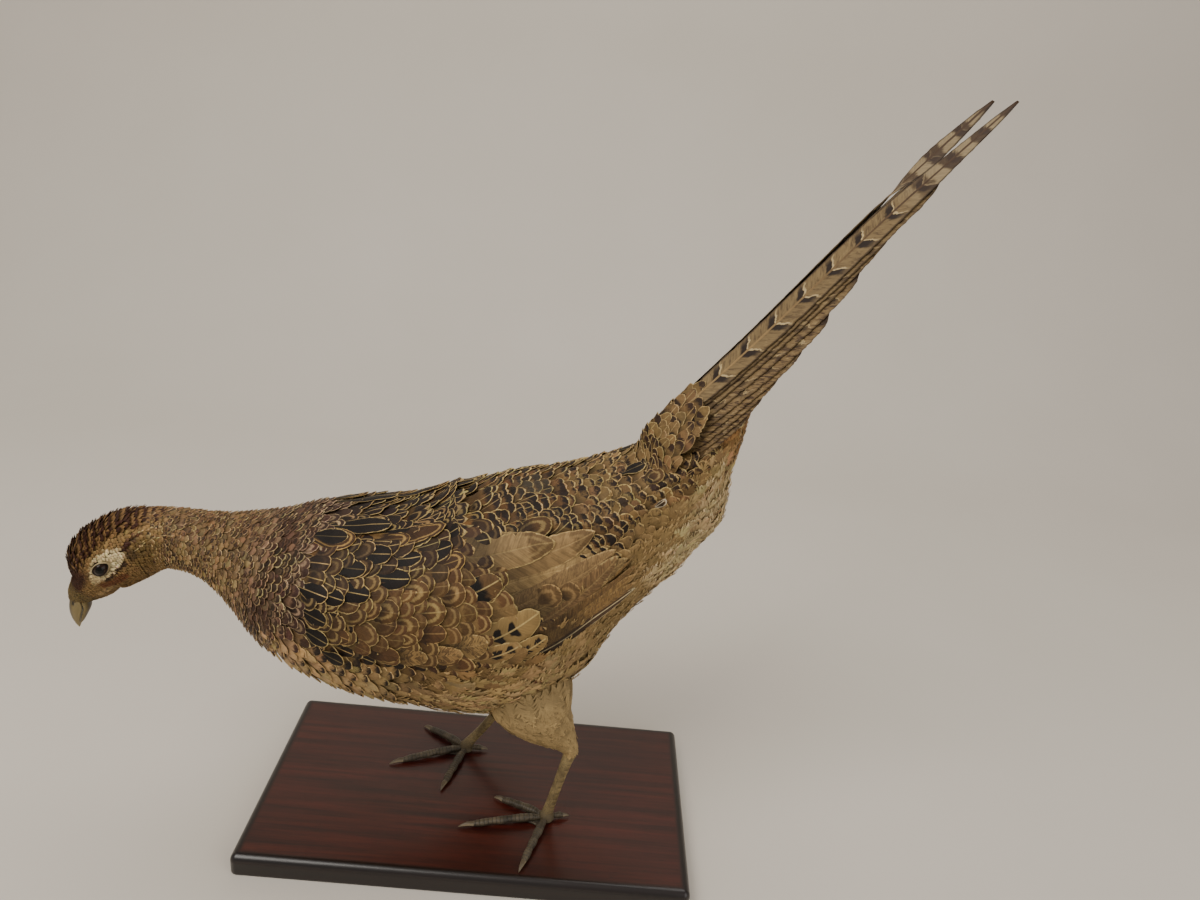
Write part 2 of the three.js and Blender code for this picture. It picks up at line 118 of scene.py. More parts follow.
# The spine's frame is tabulated once and read back by interpolation
_TT = np.linspace(0, len(SPINE) - 1, 3001)
_P = curve(SPINE, _TT)
_T = np.gradient(_P[:, :3], axis=0)
_T /= np.linalg.norm(_T, axis=1, keepdims=True)
_S = np.array([0, 1, 0]) - _T[:, 1:2] * _T
_S /= np.linalg.norm(_S, axis=1, keepdims=True)
_U = np.cross(_T, _S)
_TAB = np.hstack([_P, _T, _S, _U])


_END = len(SPINE) - 1
_D0 = (_TAB[30, :3] - _TAB[0, :3]) / _TT[30]
_D1 = (_TAB[-1, :3] - _TAB[-61, :3]) / (_TT[-1] - _TT[-61])


def spine(t):
    t = np.asarray(t, float)
    c = np.clip(t, 0, _END - 1e-6)
    q = c / _END * (len(_TT) - 1)
    i = np.floor(q).astype(int)
    f = (q - i)[..., None]
    out = _TAB[i] * (1 - f) + _TAB[i + 1] * f
    past = (t - c)[..., None]
    out[..., :3] += np.where(past > 0, past * _D1, past * _D0)
    return out


def body_mm(t, phi, h=0.0):
    f = spine(t)
    c, s = np.cos(phi), np.sin(phi)
    k = 2 / POWER
    cc = np.sign(c) * np.abs(c) ** k
    ss = np.sign(s) * np.abs(s) ** k
    hv = np.where(c > 0, f[..., 3], f[..., 4]) + h
    hw = f[..., 5] + h
    return f[..., 0:3] + f[..., 12:15] * (hv * cc)[..., None] + f[..., 9:12] * (hw * ss)[..., None]


def wing_uv(t, phi):
    """place on the folded wing: u from wrist to tip, v from its upper to its lower border"""
    u = (t - WING_START) / WING_LENGTH
    for _ in range(2):
        row = curve(WING, np.clip(u, 0, 1) * 7)
        v = (np.abs(phi) / DEG - row[..., 0]) / (row[..., 1] - row[..., 0])
        u = (t - WING_START) / (WING_LENGTH - 0.35 * np.clip(v, 0, 1))
    return u, v, row


def stand_out(t, phi):
    """how far the folded wing lifts the coat above the body's own outline, in mm"""
    u, v, row = wing_uv(t, phi)
    m = smooth(v, -0.10, 0.10) * smooth(-v, -1.08, -0.90) * smooth(u, -0.06, 0.06) * smooth(-u, -1.03, -0.97)
    mid = np.sin(PI * np.clip(v, 0, 1)) ** 0.7
    return m * (WING_EDGE * 0.75 + row[..., 3] * mid + row[..., 4] * 0.8)


def coat_depth(t, phi):
    """depth of the plumage over the skin, in mm"""
    a = np.abs(phi) / DEG
    d = np.interp(t, [0, 0.6, 2.0, 3.2, 4.5, 6.2, 7.5, 11, 13, 15], [0.5, 0.9, 1.4, 2.2, 3.0, 4.2, 5.5, 5.5, 5.0, 3.0])
    return d * (1 + 0.25 * smooth(a, 110, 150) * smooth(t, 8, 11))


def skin_point(t, phi, h=0.0):
    return body_mm(t, phi, h)


# ---------------------------------------------------------------- materials
def lin(*rgb):
    """sRGB 0-255 -> linear"""
    c = np.asarray(rgb, float) / 255
    return np.where(c <= 0.04045, c / 12.92, ((c + 0.055) / 1.055) ** 2.4)


class Nodes:
    def __init__(self, name):
        self.m = bpy.data.materials.new(name)
        self.m.use_nodes = True
        self.t = self.m.node_tree
        self.b = self.t.nodes["Principled BSDF"]

    def new(self, kind, **props):
        n = self.t.nodes.new(kind)
        for k, v in props.items():
            setattr(n, k, v)
        return n

    def link(self, a, b):
        self.t.links.new(a, b)

    def put(self, socket, value):
        if hasattr(value, "is_output"):
            self.link(value, socket)
        elif isinstance(value, (tuple, list, np.ndarray)):
            v = [float(x) for x in value]
            if len(v) == 3 and len(socket.default_value) == 4:
                v.append(1.0)
            socket.default_value = v
        else:
            socket.default_value = float(value)

    def math(self, op, a, b=0.0, c=0.0, clamp=False):
        n = self.new("ShaderNodeMath", operation=op, use_clamp=clamp)
        self.put(n.inputs[0], a)
        self.put(n.inputs[1], b)
        if op in ("MULTIPLY_ADD",):
            self.put(n.inputs[2], c)
        return n.outputs[0]

    def add(self, a, b): return self.math("ADD", a, b)
    def sub(self, a, b): return self.math("SUBTRACT", a, b)
    def mul(self, a, b): return self.math("MULTIPLY", a, b)
    def abs(self, a): return self.math("ABSOLUTE", a)

    def step(self, x, a, b, lo=0.0, hi=1.0):
        n = self.new("ShaderNodeMapRange", interpolation_type="SMOOTHSTEP")
        self.put(n.inputs[0], x)
        self.put(n.inputs[1], a)
        self.put(n.inputs[2], b)
        self.put(n.inputs[3], lo)
        self.put(n.inputs[4], hi)
        return n.outputs[0]

    def mix(self, f, a, b):
        n = self.new("ShaderNodeMix", data_type="RGBA")
        self.put(n.inputs[0], f)
        self.put(n.inputs[6], a)
        self.put(n.inputs[7], b)
        return n.outputs[2]

    def scale_rgb(self, col, f):
        n = self.new("ShaderNodeVectorMath", operation="SCALE")
        self.put(n.inputs[0], col)
        self.put(n.inputs[3], f)
        return n.outputs[0]

    def attr(self, name):
        return self.new("ShaderNodeAttribute", attribute_name=name)

    def split(self, vec):
        n = self.new("ShaderNodeSeparateXYZ")
        self.link(vec, n.inputs[0])
        return n.outputs

    def vec(self, x, y=0.0, z=0.0):
        n = self.new("ShaderNodeCombineXYZ")
        self.put(n.inputs[0], x)
        self.put(n.inputs[1], y)
        self.put(n.inputs[2], z)
        return n.outputs[0]

    def noise(self, vec, scale=1.0, detail=2.0, rough=0.5, dist=0.0):
        n = self.new("ShaderNodeTexNoise")
        if vec is not None:
            self.link(vec, n.inputs["Vector"])
        n.inputs["Scale"].default_value = scale
        n.inputs["Detail"].default_value = detail
        n.inputs["Roughness"].default_value = rough
        n.inputs["Distortion"].default_value = dist
        return n.outputs[0]

    def bump(self, height, strength=0.3, distance=0.001):
        n = self.new("ShaderNodeBump")
        n.inputs["Strength"].default_value = strength
        n.inputs["Distance"].default_value = distance
        self.link(height, n.inputs["Height"])
        self.link(n.outputs[0], self.b.inputs["Normal"])

    def done(self, color, rough=0.6, spec=0.3, **more):
        self.put(self.b.inputs["Base Color"], color)
        self.put(self.b.inputs["Roughness"], rough)
        self.b.inputs["Specular IOR Level"].default_value = spec
        for k, v in more.items():
            self.b.inputs[k.replace("_", " ")].default_value = v
        return self.m


def plumage_material(name, fine=1.0, rough=0.7, contrast=1.0):
    """Markings drawn inside each feather from its own measurements: distances in mm from tip, shaft and edge."""
    n = Nodes(name)
    dt, dv, de = n.split(n.attr("fm").outputs["Vector"])
    rnd, rnd2, length = n.split(n.attr("fr").outputs["Vector"])
    first = n.mul(n.attr("c2").outputs["Alpha"], 10.0)     # where the bars begin, from the tip
    fringe, dark, ring = n.split(n.attr("fp").outputs["Vector"])
    bar, shaft, wild = n.split(n.attr("fq").outputs["Vector"])
    c0, c2 = (n.attr(k).outputs["Color"] for k in ("c0", "c2"))
    marks = n.attr("c1")
    c1, spot = marks.outputs["Color"], n.mul(marks.outputs["Alpha"], 10.0)   # colour of the marks, half-width of spots beside the shaft
    seed = n.mul(rnd, 61.0)
    adv = n.abs(dv)
    barb = n.math("MULTIPLY_ADD", adv, 0.75, dt)          # constant along one barb
    torn = n.sub(n.noise(n.vec(n.mul(barb, 0.95 / fine), n.mul(dv, 0.10 / fine), seed), 1.0, 3.0, 0.7), 0.5)
    blot = n.sub(n.noise(n.vec(n.mul(dv, 0.5 / fine), n.mul(dt, 0.36 / fine), seed), 1.0, 2.0), 0.5)
    warp = n.mul(n.add(n.mul(torn, 1.3), blot), wild)
    de2 = n.math("MULTIPLY_ADD", warp, 1.3 * fine, de)
    inner = n.step(n.sub(de2, fringe), -0.22 * fine, 0.26 * fine)
    far = n.math("MULTIPLY_ADD", warp, 6.0 * fine, dt)
    near_tip = n.step(n.sub(far, dark), 1.2 * fine, -1.6 * fine)
    col = n.mix(inner, c0, c2)
    col = n.mix(n.mul(inner, near_tip), col, c1)
    off = n.abs(n.sub(n.sub(de2, fringe), 1.75 * fine))
    band = n.step(off, 0.62 * fine, 0.16 * fine)
    col = n.mix(n.mul(n.mul(n.mul(band, ring), 0.8), n.step(dt, n.add(dark, 5.0 * fine), dark)), col, n.mix(0.45, c0, c2))
    ph = n.math("FRACT", n.add(n.mul(n.math("MULTIPLY_ADD", adv, 0.45, far), 1 / (4.2 * fine)), rnd2))
    paired = n.step(spot, 9.0, 7.0)
    reach = n.math("DIVIDE", adv, spot)
    oval = n.math("MULTIPLY_ADD", n.mul(n.mul(reach, reach), paired), 0.17, n.abs(n.sub(ph, 0.5)))
    stripe = n.mul(n.step(oval, n.math("MULTIPLY_ADD", paired, 0.08, 0.27), n.math("MULTIPLY_ADD", paired, 0.11, 0.15)), bar)
    stripe = n.mul(stripe, n.mul(n.step(n.math("MULTIPLY_ADD", blot, 2.0, adv), n.math("MULTIPLY_ADD", spot, 1.15, 0.25), n.mul(spot, 0.85)), n.step(dt, n.add(first, 1.4), n.add(first, 2.6))))
    stripe = n.mul(stripe, n.math("MULTIPLY_ADD", n.mul(paired, n.step(dt, n.add(first, 17.0), n.add(first, 19.0))), -1.0, 1.0))
    col = n.mix(stripe, col, c1)
    quill = n.mul(n.step(adv, 0.34 * fine, 0.12 * fine), shaft)
    quill = n.mul(quill, n.step(dt, 0.6, 1.8))
    col = n.mix(quill, col, c0)
    barbs = n.noise(n.vec(n.mul(barb, 1.5 / fine), n.mul(dv, 0.14 / fine), seed), 1.0, 4.0, 0.72)
    soft = n.noise(n.vec(n.mul(dt, 0.25 / fine), n.mul(dv, 0.25 / fine), n.mul(rnd2, 37.0)), 1.0, 2.0)
    tone = n.math("MULTIPLY_ADD", n.sub(barbs, 0.5), 1.05 * contrast, 0.90)
    tone = n.math("MULTIPLY_ADD", n.sub(soft, 0.5), 0.45 * contrast, tone)
    tone = n.math("MULTIPLY_ADD", n.sub(rnd, 0.5), 0.30 * contrast, tone)
    # the part under the feathers in front lies in their shade
    deep = n.step(n.math("DIVIDE", dt, length), 0.26, 0.52)
    tone = n.mul(tone, n.math("MULTIPLY_ADD", deep, -0.5 * contrast, 1.0))
    col = n.scale_rgb(col, tone)
    n.bump(n.add(n.mul(barbs, 1.0), n.mul(n.step(adv, 0.5 * fine, 0.0), 0.35)), 0.55, 0.0005 * fine)
    return n.done(col, n.math("MULTIPLY_ADD", barbs, -0.16, rough), 0.25)


# ---------------------------------------------------------------- meshes
PIECES = []


def link_object(name, mesh, material, smooth_shade=True):
    ob = bpy.data.objects.new(name, mesh)
    bpy.context.scene.collection.objects.link(ob)
    mesh.materials.append(material)
    if smooth_shade:
        mesh.polygons.foreach_set("use_smooth", np.ones(len(mesh.polygons), bool))
    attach(ob, "root")
    PIECES.append(ob)
    return ob


def mesh_from(name, verts, faces):
    """verts (n,3) metres; faces (m,4) or (m,3) with -1 marking a triangle's missing corner"""
    me = bpy.data.meshes.new(name)
    verts = np.ascontiguousarray(verts, np.float32)
    faces = np.asarray(faces, np.int32)
    if faces.shape[1] == 4:
        tri = faces[:, 3] < 0
        sizes = np.where(tri, 3, 4)
        flat = faces.ravel()
        flat = flat[flat >= 0]
    else:
        sizes = np.full(len(faces), 3)
        flat = faces.ravel()
    starts = np.concatenate([[0], np.cumsum(sizes)[:-1]])
    me.vertices.add(len(verts))
    me.vertices.foreach_set("co", verts.ravel())
    me.loops.add(len(flat))
    me.loops.foreach_set("vertex_index", flat)
    me.polygons.add(len(faces))
    me.polygons.foreach_set("loop_start", starts.astype(np.int32))
    me.update(calc_edges=True)
    me.validate()
    return me


def set_attr(me, name, kind, data):
    a = me.attributes.new(name, kind, "POINT")
    key = "vector" if kind == "FLOAT_VECTOR" else "color" if kind == "FLOAT_COLOR" else "value"
    a.data.foreach_set(key, np.ascontiguousarray(data, np.float32).ravel())


def set_uv(me, uv, name="OFBake"):
    layer = me.uv_layers.new(name=name)
    idx = np.empty(len(me.loops), np.int32)
    me.loops.foreach_get("vertex_index", idx)
    layer.data.foreach_set("uv", np.ascontiguousarray(uv[idx], np.float32).ravel())


def grid_faces(nu, nv, wrap=False):
    i, j = np.meshgrid(np.arange(nu - 1), np.arange(nv if wrap else nv - 1), indexing="ij")
    i, j = i.ravel(), j.ravel()
    k = (j + 1) % nv
    return np.stack([i * nv + j, (i + 1) * nv + j, (i + 1) * nv + k, i * nv + k], 1)


def tube(rings):
    """closed surface over rings (n, m, 3), its ends shut by fans, facing outwards"""
    rings = np.asarray(rings, float)
    n, m = rings.shape[:2]
    verts = np.vstack([rings.reshape(-1, 3), rings[0].mean(0), rings[-1].mean(0)])
    j = np.arange(m)
    k = (j + 1) % m
    a = np.stack([np.full(m, n * m), j, k, np.full(m, -1)], 1)
    b = np.stack([np.full(m, n * m + 1), (n - 1) * m + k, (n - 1) * m + j, np.full(m, -1)], 1)
    f = np.vstack([grid_faces(n, m, True), a, b])
    c = verts - verts.mean(0)
    quad = f[:, 3] >= 0
    vol = np.einsum("ij,ij->i", c[f[:, 0]], np.cross(c[f[:, 1]], c[f[:, 2]])).sum()
    vol += np.einsum("ij,ij->i", c[f[quad, 0]], np.cross(c[f[quad, 2]], c[f[quad, 3]])).sum()
    if vol < 0:
        tri = ~quad
        g = f[:, ::-1].copy()
        g[tri] = f[tri][:, [2, 1, 0, 3]]
        f = g
    return verts, f


def join(parts):
    vs, fs, off = [], [], 0
    for v, f in parts:
        vs.append(v)
        f = np.asarray(f).copy()
        f[f >= 0] += off
        fs.append(f)
        off += len(v)
    return np.vstack(vs), np.vstack(fs)


# Shape of one vane: half-width along it, from quill (0) to tip (1)
def vane_width(u, kind):
    u = np.clip(u, 0, 1)
    if kind == "round":
        rise = 0.34 + 0.66 * smooth(u, 0.0, 0.55)
        fall = np.sqrt(np.clip(1 - (np.clip(u - 0.58, 0, 1) / 0.42) ** 2, 0, 1))
    elif kind == "lance":
        rise = 0.34 + 0.66 * smooth(u, 0.0, 0.5)
        fall = np.clip(1 - (np.clip(u - 0.42, 0, 1) / 0.58) ** 1.7, 0, 1) ** 0.8
    else:
        rise = 0.7 + 0.3 * smooth(u, 0.0, 0.25)
        fall = np.clip(1 - (np.clip(u - 0.66, 0, 1) / 0.34) ** 2.2, 0, 1) ** 0.7
    return rise * fall


def template_vane(nr, cols, barb=0.3):
    v = np.concatenate([-np.array(cols), [0.0], np.array(cols)[::-1]])
    nc = len(v)
    u = np.linspace(0, 1, nr + 1) ** 0.9
    U = np.repeat(u[:, None], nc, 1)
    V = np.repeat(v[None, :], nr + 1, 0)
    U = U + barb * np.abs(V) * (1 - U) * np.sqrt(U) * 0.9
    edge = np.zeros((nr + 1, nc), int)
    edge[:, 0], edge[:, 1], edge[:, -2], edge[:, -1] = -2, -1, 1, 2
    return U.ravel(), V.ravel(), grid_faces(nr + 1, nc), edge.ravel(), np.repeat(np.arange(nr + 1), nc)


def template_loose(nb=7, wide=0.055, reach=0.34):
    """a soft feather: locks of barbs that fan out from the shaft with gaps between them"""
    U, V, F, E, G = [], [], [], [], []
    cu = np.linspace(0, 1, 5)
    for i, c in enumerate(cu):
        U += [c, c]
        V += [-0.07 * (1 - 0.6 * c), 0.07 * (1 - 0.6 * c)]
        E += [0, 0]
        G += [0, 0]
        if i:
            F.append([2 * i - 2, 2 * i, 2 * i + 1, 2 * i - 1])
    g = 1
    for k in range(nb):
        u0 = 0.10 + 0.84 * (k / (nb - 1)) ** 0.85
        for sg in (-1, 1):
            o = len(U)
            for j, q in enumerate((0.0, 0.5, 1.0)):
                c = u0 + reach * q * (1 - 0.45 * u0) * (1 - 0.25 * q)
                w = wide * (1.0, 0.95, 0.22)[j]
                U += [c - w, c + w]
                V += [sg * q, sg * q]
                E += [3 if j == 2 else 0] * 2
                G += [g, g]
                if j:
                    F.append([o + 2 * j - 2, o + 2 * j, o + 2 * j + 1, o + 2 * j - 1])
            g += 1
    return np.array(U), np.array(V), np.array(F), np.array(E), np.array(G)


def vanes(name, surf, lattice, t0, p0, lie, L, W, low, high, style, nr=11, cols=(1, 0.7, 0.36), kind="round",
          camber=0.09, twist=0.06, frill=0.16, split=0.10, curl=0.0, material=None, node_slot="plumage", tilt=0.0, barb=0.3,
          loose=None, bow=0.05, t1=None, p1=None, ruffle=0.30, least=3.0):
    """Joined vanes on surf(t, phi, height in mm). Arrays run over the feathers. style: dict of per-feather arrays."""
    F = len(t0)
    if F == 0:
        return []
    tU, tV, face, edge, grp = template_vane(nr, cols, barb) if loose is None else template_loose(*loose)
    N = len(tU)
    U = np.broadcast_to(tU, (F, N)).copy()
    V = np.broadcast_to(tV, (F, N)).copy()
    if loose is not None:
        ng = grp.max() + 1
        jl = 1 + RNG.normal(0, 0.16, (F, ng))
        ju = RNG.normal(0, 0.055, (F, ng))
        jl[:, 0], ju[:, 0] = 1, 0
        V = V * jl[:, grp]
        U = np.clip(U + ju[:, grp] * np.abs(V), -0.05, 1.12)
    e = 0.02
    if t1 is not None:
        # the shaft runs between two given places: its real length is measured along the surface
        qs = np.linspace(0, 1, 33)
        TT = t0[:, None] + (t1 - t0)[:, None] * qs
        PP = p0[:, None] + (p1 - p0)[:, None] * qs
        zz = np.zeros_like(TT)
        cum = np.cumsum(np.linalg.norm(np.diff(surf(TT, PP, zz), axis=1), axis=2), axis=1) * 1000
        cum = np.concatenate([np.zeros((F, 1)), cum], 1)
        L = cum[:, -1]
    half = vane_width(np.clip(U, 0, 1), kind)
    if loose is not None:
        half = np.maximum(half, 0.22)
    Y = half * V * (W[:, None] / 2)
    if loose is None:
        rag = RNG.random((F, grp.max() + 1, 2))
        torn = 1 - frill * rag
        cut = RNG.random(rag.shape) < split
        torn = np.where(cut, torn - 0.3 * RNG.random(rag.shape), torn)
        for sgn in (0, 1):
            m2 = edge == (-2, 2)[sgn]
            m1 = edge == (-1, 1)[sgn]
            Y[:, m2] *= torn[:, grp[m2], sgn]
            Y[:, m1] *= 1 - 0.35 * (1 - torn[:, grp[m1], sgn])
    X = U * L[:, None]
    Uc = np.clip(U, 0, 1)
    Yb = Y + RNG.normal(0, bow, F)[:, None] * X * Uc
    if t1 is None:
        # step along the surface so that every vane keeps its real length, also where the surface is hollow
        steps = 7
        ca, sa = np.cos(lie), np.sin(lie)
        z = np.zeros(F)
        TP, PP, GT, GP = [t0], [p0], [], []
        for _ in range(steps):
            a, b = TP[-1], PP[-1]
            GT.append(np.maximum(np.linalg.norm(surf(a + e, b, z) - surf(a - e, b, z), axis=1) / (2 * e) * 1000, least))
            GP.append(np.maximum(np.linalg.norm(surf(a, b + e, z) - surf(a, b - e, z), axis=1) / (2 * e) * 1000, least))
            TP.append(a + L / steps * ca / GT[-1])
            PP.append(b + L / steps * sa / GP[-1])
        TP, PP, GT, GP = (np.stack(q, 1) for q in (TP, PP, GT, GP))
        at = np.clip(np.floor(U * steps).astype(int), 0, steps - 1)
        part = U * steps - at
        get = lambda q, k: np.take_along_axis(q, k, 1)
        ta, pa = get(TP, at), get(PP, at)
        T = ta + (get(TP, at + 1) - ta) * part - Yb * sa[:, None] / get(GT, at)
        P = pa + (get(PP, at + 1) - pa) * part + Yb * ca[:, None] / get(GP, at)
    else:
        frac = np.stack([np.interp(X[i], cum[i], qs) for i in range(F)])
        GT = np.linalg.norm(surf(TT + e, PP, zz) - surf(TT - e, PP, zz), axis=2) / (2 * e) * 1000
        GP = np.linalg.norm(surf(TT, PP + e, zz) - surf(TT, PP - e, zz), axis=2) / (2 * e) * 1000
        gt = np.maximum(np.stack([np.interp(frac[i], qs, GT[i]) for i in range(F)]), 3.0)
        gp = np.maximum(np.stack([np.interp(frac[i], qs, GP[i]) for i in range(F)]), 3.0)
        ang = np.arctan2((p1 - p0)[:, None] * gp, (t1 - t0)[:, None] * gt)
        T = t0[:, None] + (t1 - t0)[:, None] * frac - Yb * np.sin(ang) / gt
        P = p0[:, None] + (p1 - p0)[:, None] * frac + Yb * np.cos(ang) / gp
    rise = Uc ** 0.85
    H = low[:, None] * (1 - rise) + high[:, None] * rise
    H += camber * W[:, None] * (1 - np.clip(V, -1, 1) ** 2) * (0.3 + 0.7 * Uc) - camber * W[:, None] * 0.5 * Uc
    H += (RNG.normal(0, twist, F)[:, None] + np.broadcast_to(tilt, (F,))[:, None]) * Y * Uc
    H += (RNG.normal(0, 0.012, F) + curl)[:, None] * L[:, None] * Uc ** 3
    if loose is not None:
        H += RNG.normal(0, ruffle, (F, grp.max() + 1))[:, grp] * np.abs(V)
    xyz = surf(T, P, H)
    dt = L[:, None] - X
    again = None
    if loose is None:
        g3 = xyz.reshape(F, nr + 1, -1, 3)
        g2 = np.stack([X, Y, H], -1).reshape(F, nr + 1, -1, 3)
        real = np.linalg.norm(np.diff(g3, axis=1), axis=3) * 1000
        meant = np.linalg.norm(np.diff(g2, axis=1), axis=3)
        whole = (real.max(axis=2) < 2.4 * meant.max(axis=2) + 0.3).all(axis=1)      # not torn open by a fold of the surface
        if not whole.all():
            print("vanes left out", name, int((~whole).sum()), "of", F)
            if t1 is None and (~whole).sum() > 5 and not name.endswith("_short"):
                m = ~whole
                again = [t0[m], p0[m], lie[m], L[m] * 0.5, W[m] * 0.85, low[m], high[m], {key: q[m] for key, q in style.items()}]
            xyz, dt, Y, V, half, L, W, t0, p0 = (q[whole] for q in (xyz, dt, Y, V, half, L, W, t0, p0))
            style = {key: q[whole] for key, q in style.items()}
            F = int(whole.sum())
    side_d = np.clip(1 - np.abs(V), 0, 1) * half * (W[:, None] / 2)
    de = 1 / (1 / np.maximum(side_d, 1e-3) ** 2 + 1 / np.maximum(dt * 0.9, 1e-3) ** 2) ** 0.5
    per = len(face)
    most = max(1, int(195000 // (2 * per)))
    out = []
    lu, lv = lattice(t0, p0)
    for b, s in enumerate(range(0, F, most)):
        sl = slice(s, min(F, s + most))
        f = sl.stop - sl.start
        faces = (face[None] + (np.arange(f) * N)[:, None, None]).reshape(-1, 4)
        me = mesh_from(f"{name}_{b + 1}", xyz[sl].reshape(-1, 3), faces)
        pack = lambda *a: np.stack([np.broadcast_to(q, (f, N)) for q in a], -1).reshape(-1, len(a))
        per_f = lambda k: style[k][sl][:, None]
        set_attr(me, "fm", "FLOAT_VECTOR", pack(dt[sl], Y[sl], de[sl]))
        rnd = RNG.random((f, 2))
        rnd[:, 1] = np.where(style["phase"][sl] >= 0, style["phase"][sl], rnd[:, 1])
        set_attr(me, "fr", "FLOAT_VECTOR", pack(rnd[:, :1], rnd[:, 1:], L[sl][:, None]))
        set_attr(me, "fp", "FLOAT_VECTOR", pack(per_f("fringe"), per_f("dark"), per_f("ring")))
        set_attr(me, "fq", "FLOAT_VECTOR", pack(per_f("bar"), per_f("shaft"), per_f("wild")))
        for key in ("c0", "c1", "c2"):
            extra = {"c1": style["spot"][sl] / 10, "c2": style["first"][sl] / 10}.get(key, np.ones(f))
            rgba = np.concatenate([style[key][sl], extra[:, None]], 1)
            set_attr(me, key, "FLOAT_COLOR", np.repeat(rgba[:, None], N, 1).reshape(-1, 4))
        # one small patch of the bake map for each vane, at its root's place
        uv = np.stack([lu[sl][:, None] + (np.clip(tU, 0, 1)[None] - 0.5) * 0.003, lv[sl][:, None] + np.clip(tV, -1, 1)[None] * 0.0015], -1)
        set_uv(me, uv.reshape(-1, 2))
        out.append(link_object(me.name, me, material))
    if again is not None:
        kept = RNG.bit_generator.state
        out += vanes(name + "_short", surf, lattice, *again, nr=nr, cols=cols, kind=kind, camber=camber, twist=twist, frill=frill,
                     split=split, material=material, node_slot=node_slot, barb=barb, bow=bow, ruffle=ruffle, least=least)
        RNG.bit_generator.state = kept
    return out


def spaced(surf, t, p, along, across):
    """thin a lattice where rows crowd: keep a root only if no kept one lies within along x across mm"""
    z = np.zeros(len(t))
    q = surf(t, p, z) * 1000
    e = 0.02
    d = surf(t + e, p, z) - surf(t - e, p, z)
    d /= np.linalg.norm(d, axis=1, keepdims=True)
    keep = np.zeros(len(t), bool)
    kept = np.empty((len(t), 3))
    n = 0
    for i in range(len(t)):
        w = kept[:n] - q[i]
        a = w @ d[i]
        r = (a / along[i]) ** 2 + (np.einsum("ij,ij->i", w, w) - a * a) / across[i] ** 2
        if n == 0 or r.min() > 1:
            keep[i] = True
            kept[n] = q[i]
            n += 1
    return keep


# ---------------------------------------------------------------- places on the bird
def coat(t, phi, h):
    """point of the coat, h mm above (or below) the outline of the plumage, in metres"""
    return world(body_mm(t, phi, stand_out(t, phi) + h))


def wing_surf(side):
    def surf(u, v, h):
        row = curve(WING, np.clip(u, 0, 1) * 7)
        phi = side * DEG * (row[..., 0] + (row[..., 1] - row[..., 0]) * v)
        t = WING_START + WING_LENGTH * u - 0.35 * v * u
        return coat(t, phi, h)
    return surf


def flat_map(t, phi):
    return 0.02 + 0.96 * np.clip(t / 15.5, 0, 1), 0.02 + 0.96 * (phi / (2 * PI) + 0.5)


def rows_on(surf, t_lo, t_hi, row_mm, col_mm, p_lo=-PI, p_hi=PI, jitter=0.12, p_ref=PI / 2):
    """roots of feathers in staggered rows: t, phi, row spacing and column spacing in mm"""
    out = []
    t, k = t_lo, 0
    ph = np.linspace(p_lo, p_hi, 241)
    z = np.zeros_like(ph)
    e = 0.02
    while t < t_hi:
        pts = surf(np.full_like(ph, t), ph, z) * 1000
        s = np.concatenate([[0], np.cumsum(np.linalg.norm(np.diff(pts, axis=0), axis=1))])
        n = max(2, int(round(s[-1] / col_mm(t))))
        pos = (np.arange(n) + 0.25 + 0.5 * (k % 2) + RNG.normal(0, jitter, n)) / n * s[-1]
        phi = np.interp(pos % s[-1], s, ph)
        one = np.array([t])
        ref = np.array([p_ref])
        g = np.linalg.norm(surf(one + e, ref, z[:1]) - surf(one - e, ref, z[:1])) * 1000 / (2 * e)
        dt = row_mm(t) / max(g, 1.0)
        tt = np.full(n, t)
        gl = np.linalg.norm(surf(tt + e, phi, z[:1]) - surf(tt - e, phi, z[:1]), axis=1) * 1000 / (2 * e)
        out.append(np.stack([tt + RNG.normal(0, jitter, n) * dt, phi, dt * gl, np.full(n, s[-1] / n)], 1))
        t += dt
        k += 1
    r = np.vstack(out)
    return r[:, 0], r[:, 1], r[:, 2], r[:, 3]


def dist(p, q):
    return np.linalg.norm(p - q, axis=-1)


def near_side(p):
    """fold the right side of the head onto the left, about the head's own middle plane"""
    t_line = np.interp(p[..., 0], [-231, -216.7, -202, -185, -165, -144], [-13, -10, -7, -3.6, -1.2, 0])
    q = p.copy()
    q[..., 1] = t_line - np.abs(p[..., 1] - t_line)
    return q


def blend_to(col, target, w):
    w = np.clip(w, 0, 1)[..., None]
    return col * (1 - w) + np.asarray(target) * w


BUFF = lin(172, 142, 92)
BUFF_PALE = lin(205, 180, 130)
CREAM = lin(222, 205, 160)
FRINGE = lin(186, 159, 104)
BLACKISH = lin(42, 29, 21)
DARK = lin(60, 40, 26)
CHESTNUT = lin(96, 54, 28)
GOLDEN = lin(134, 98, 52)
OLIVE = lin(132, 112, 70)
BROWN = lin(106, 76, 42)
MAUVE = lin(124, 97, 76)
CHOCOLATE = lin(92, 62, 42)
TAN = lin(156, 128, 82)
BELLY = lin(172, 146, 100)


def land(t, phi_deg, h=0.0):
    return body_mm(np.array(float(t)), np.array(phi_deg * DEG), h)


LM = {k: land(*v) for k, v in {
    "eye": (2.22, -89), "brow": (2.35, -70), "brow_front": (1.5, -72), "gape": (1.08, -107), "ear": (3.08, -72),
    "rear": (2.92, -83), "low": (2.15, -104), "lore": (1.1, -84), "malar": (1.7, -125), "streak0": (3.25, -78),
    "streak1": (4.1, -62), "brow_back": (3.0, -62),
}.items()}


def seg_dist(p, a, b):
    d = b - a
    f = np.clip(((p - a) @ d) / (d @ d), 0, 1)
    return dist(p, a + f[..., None] * d), f


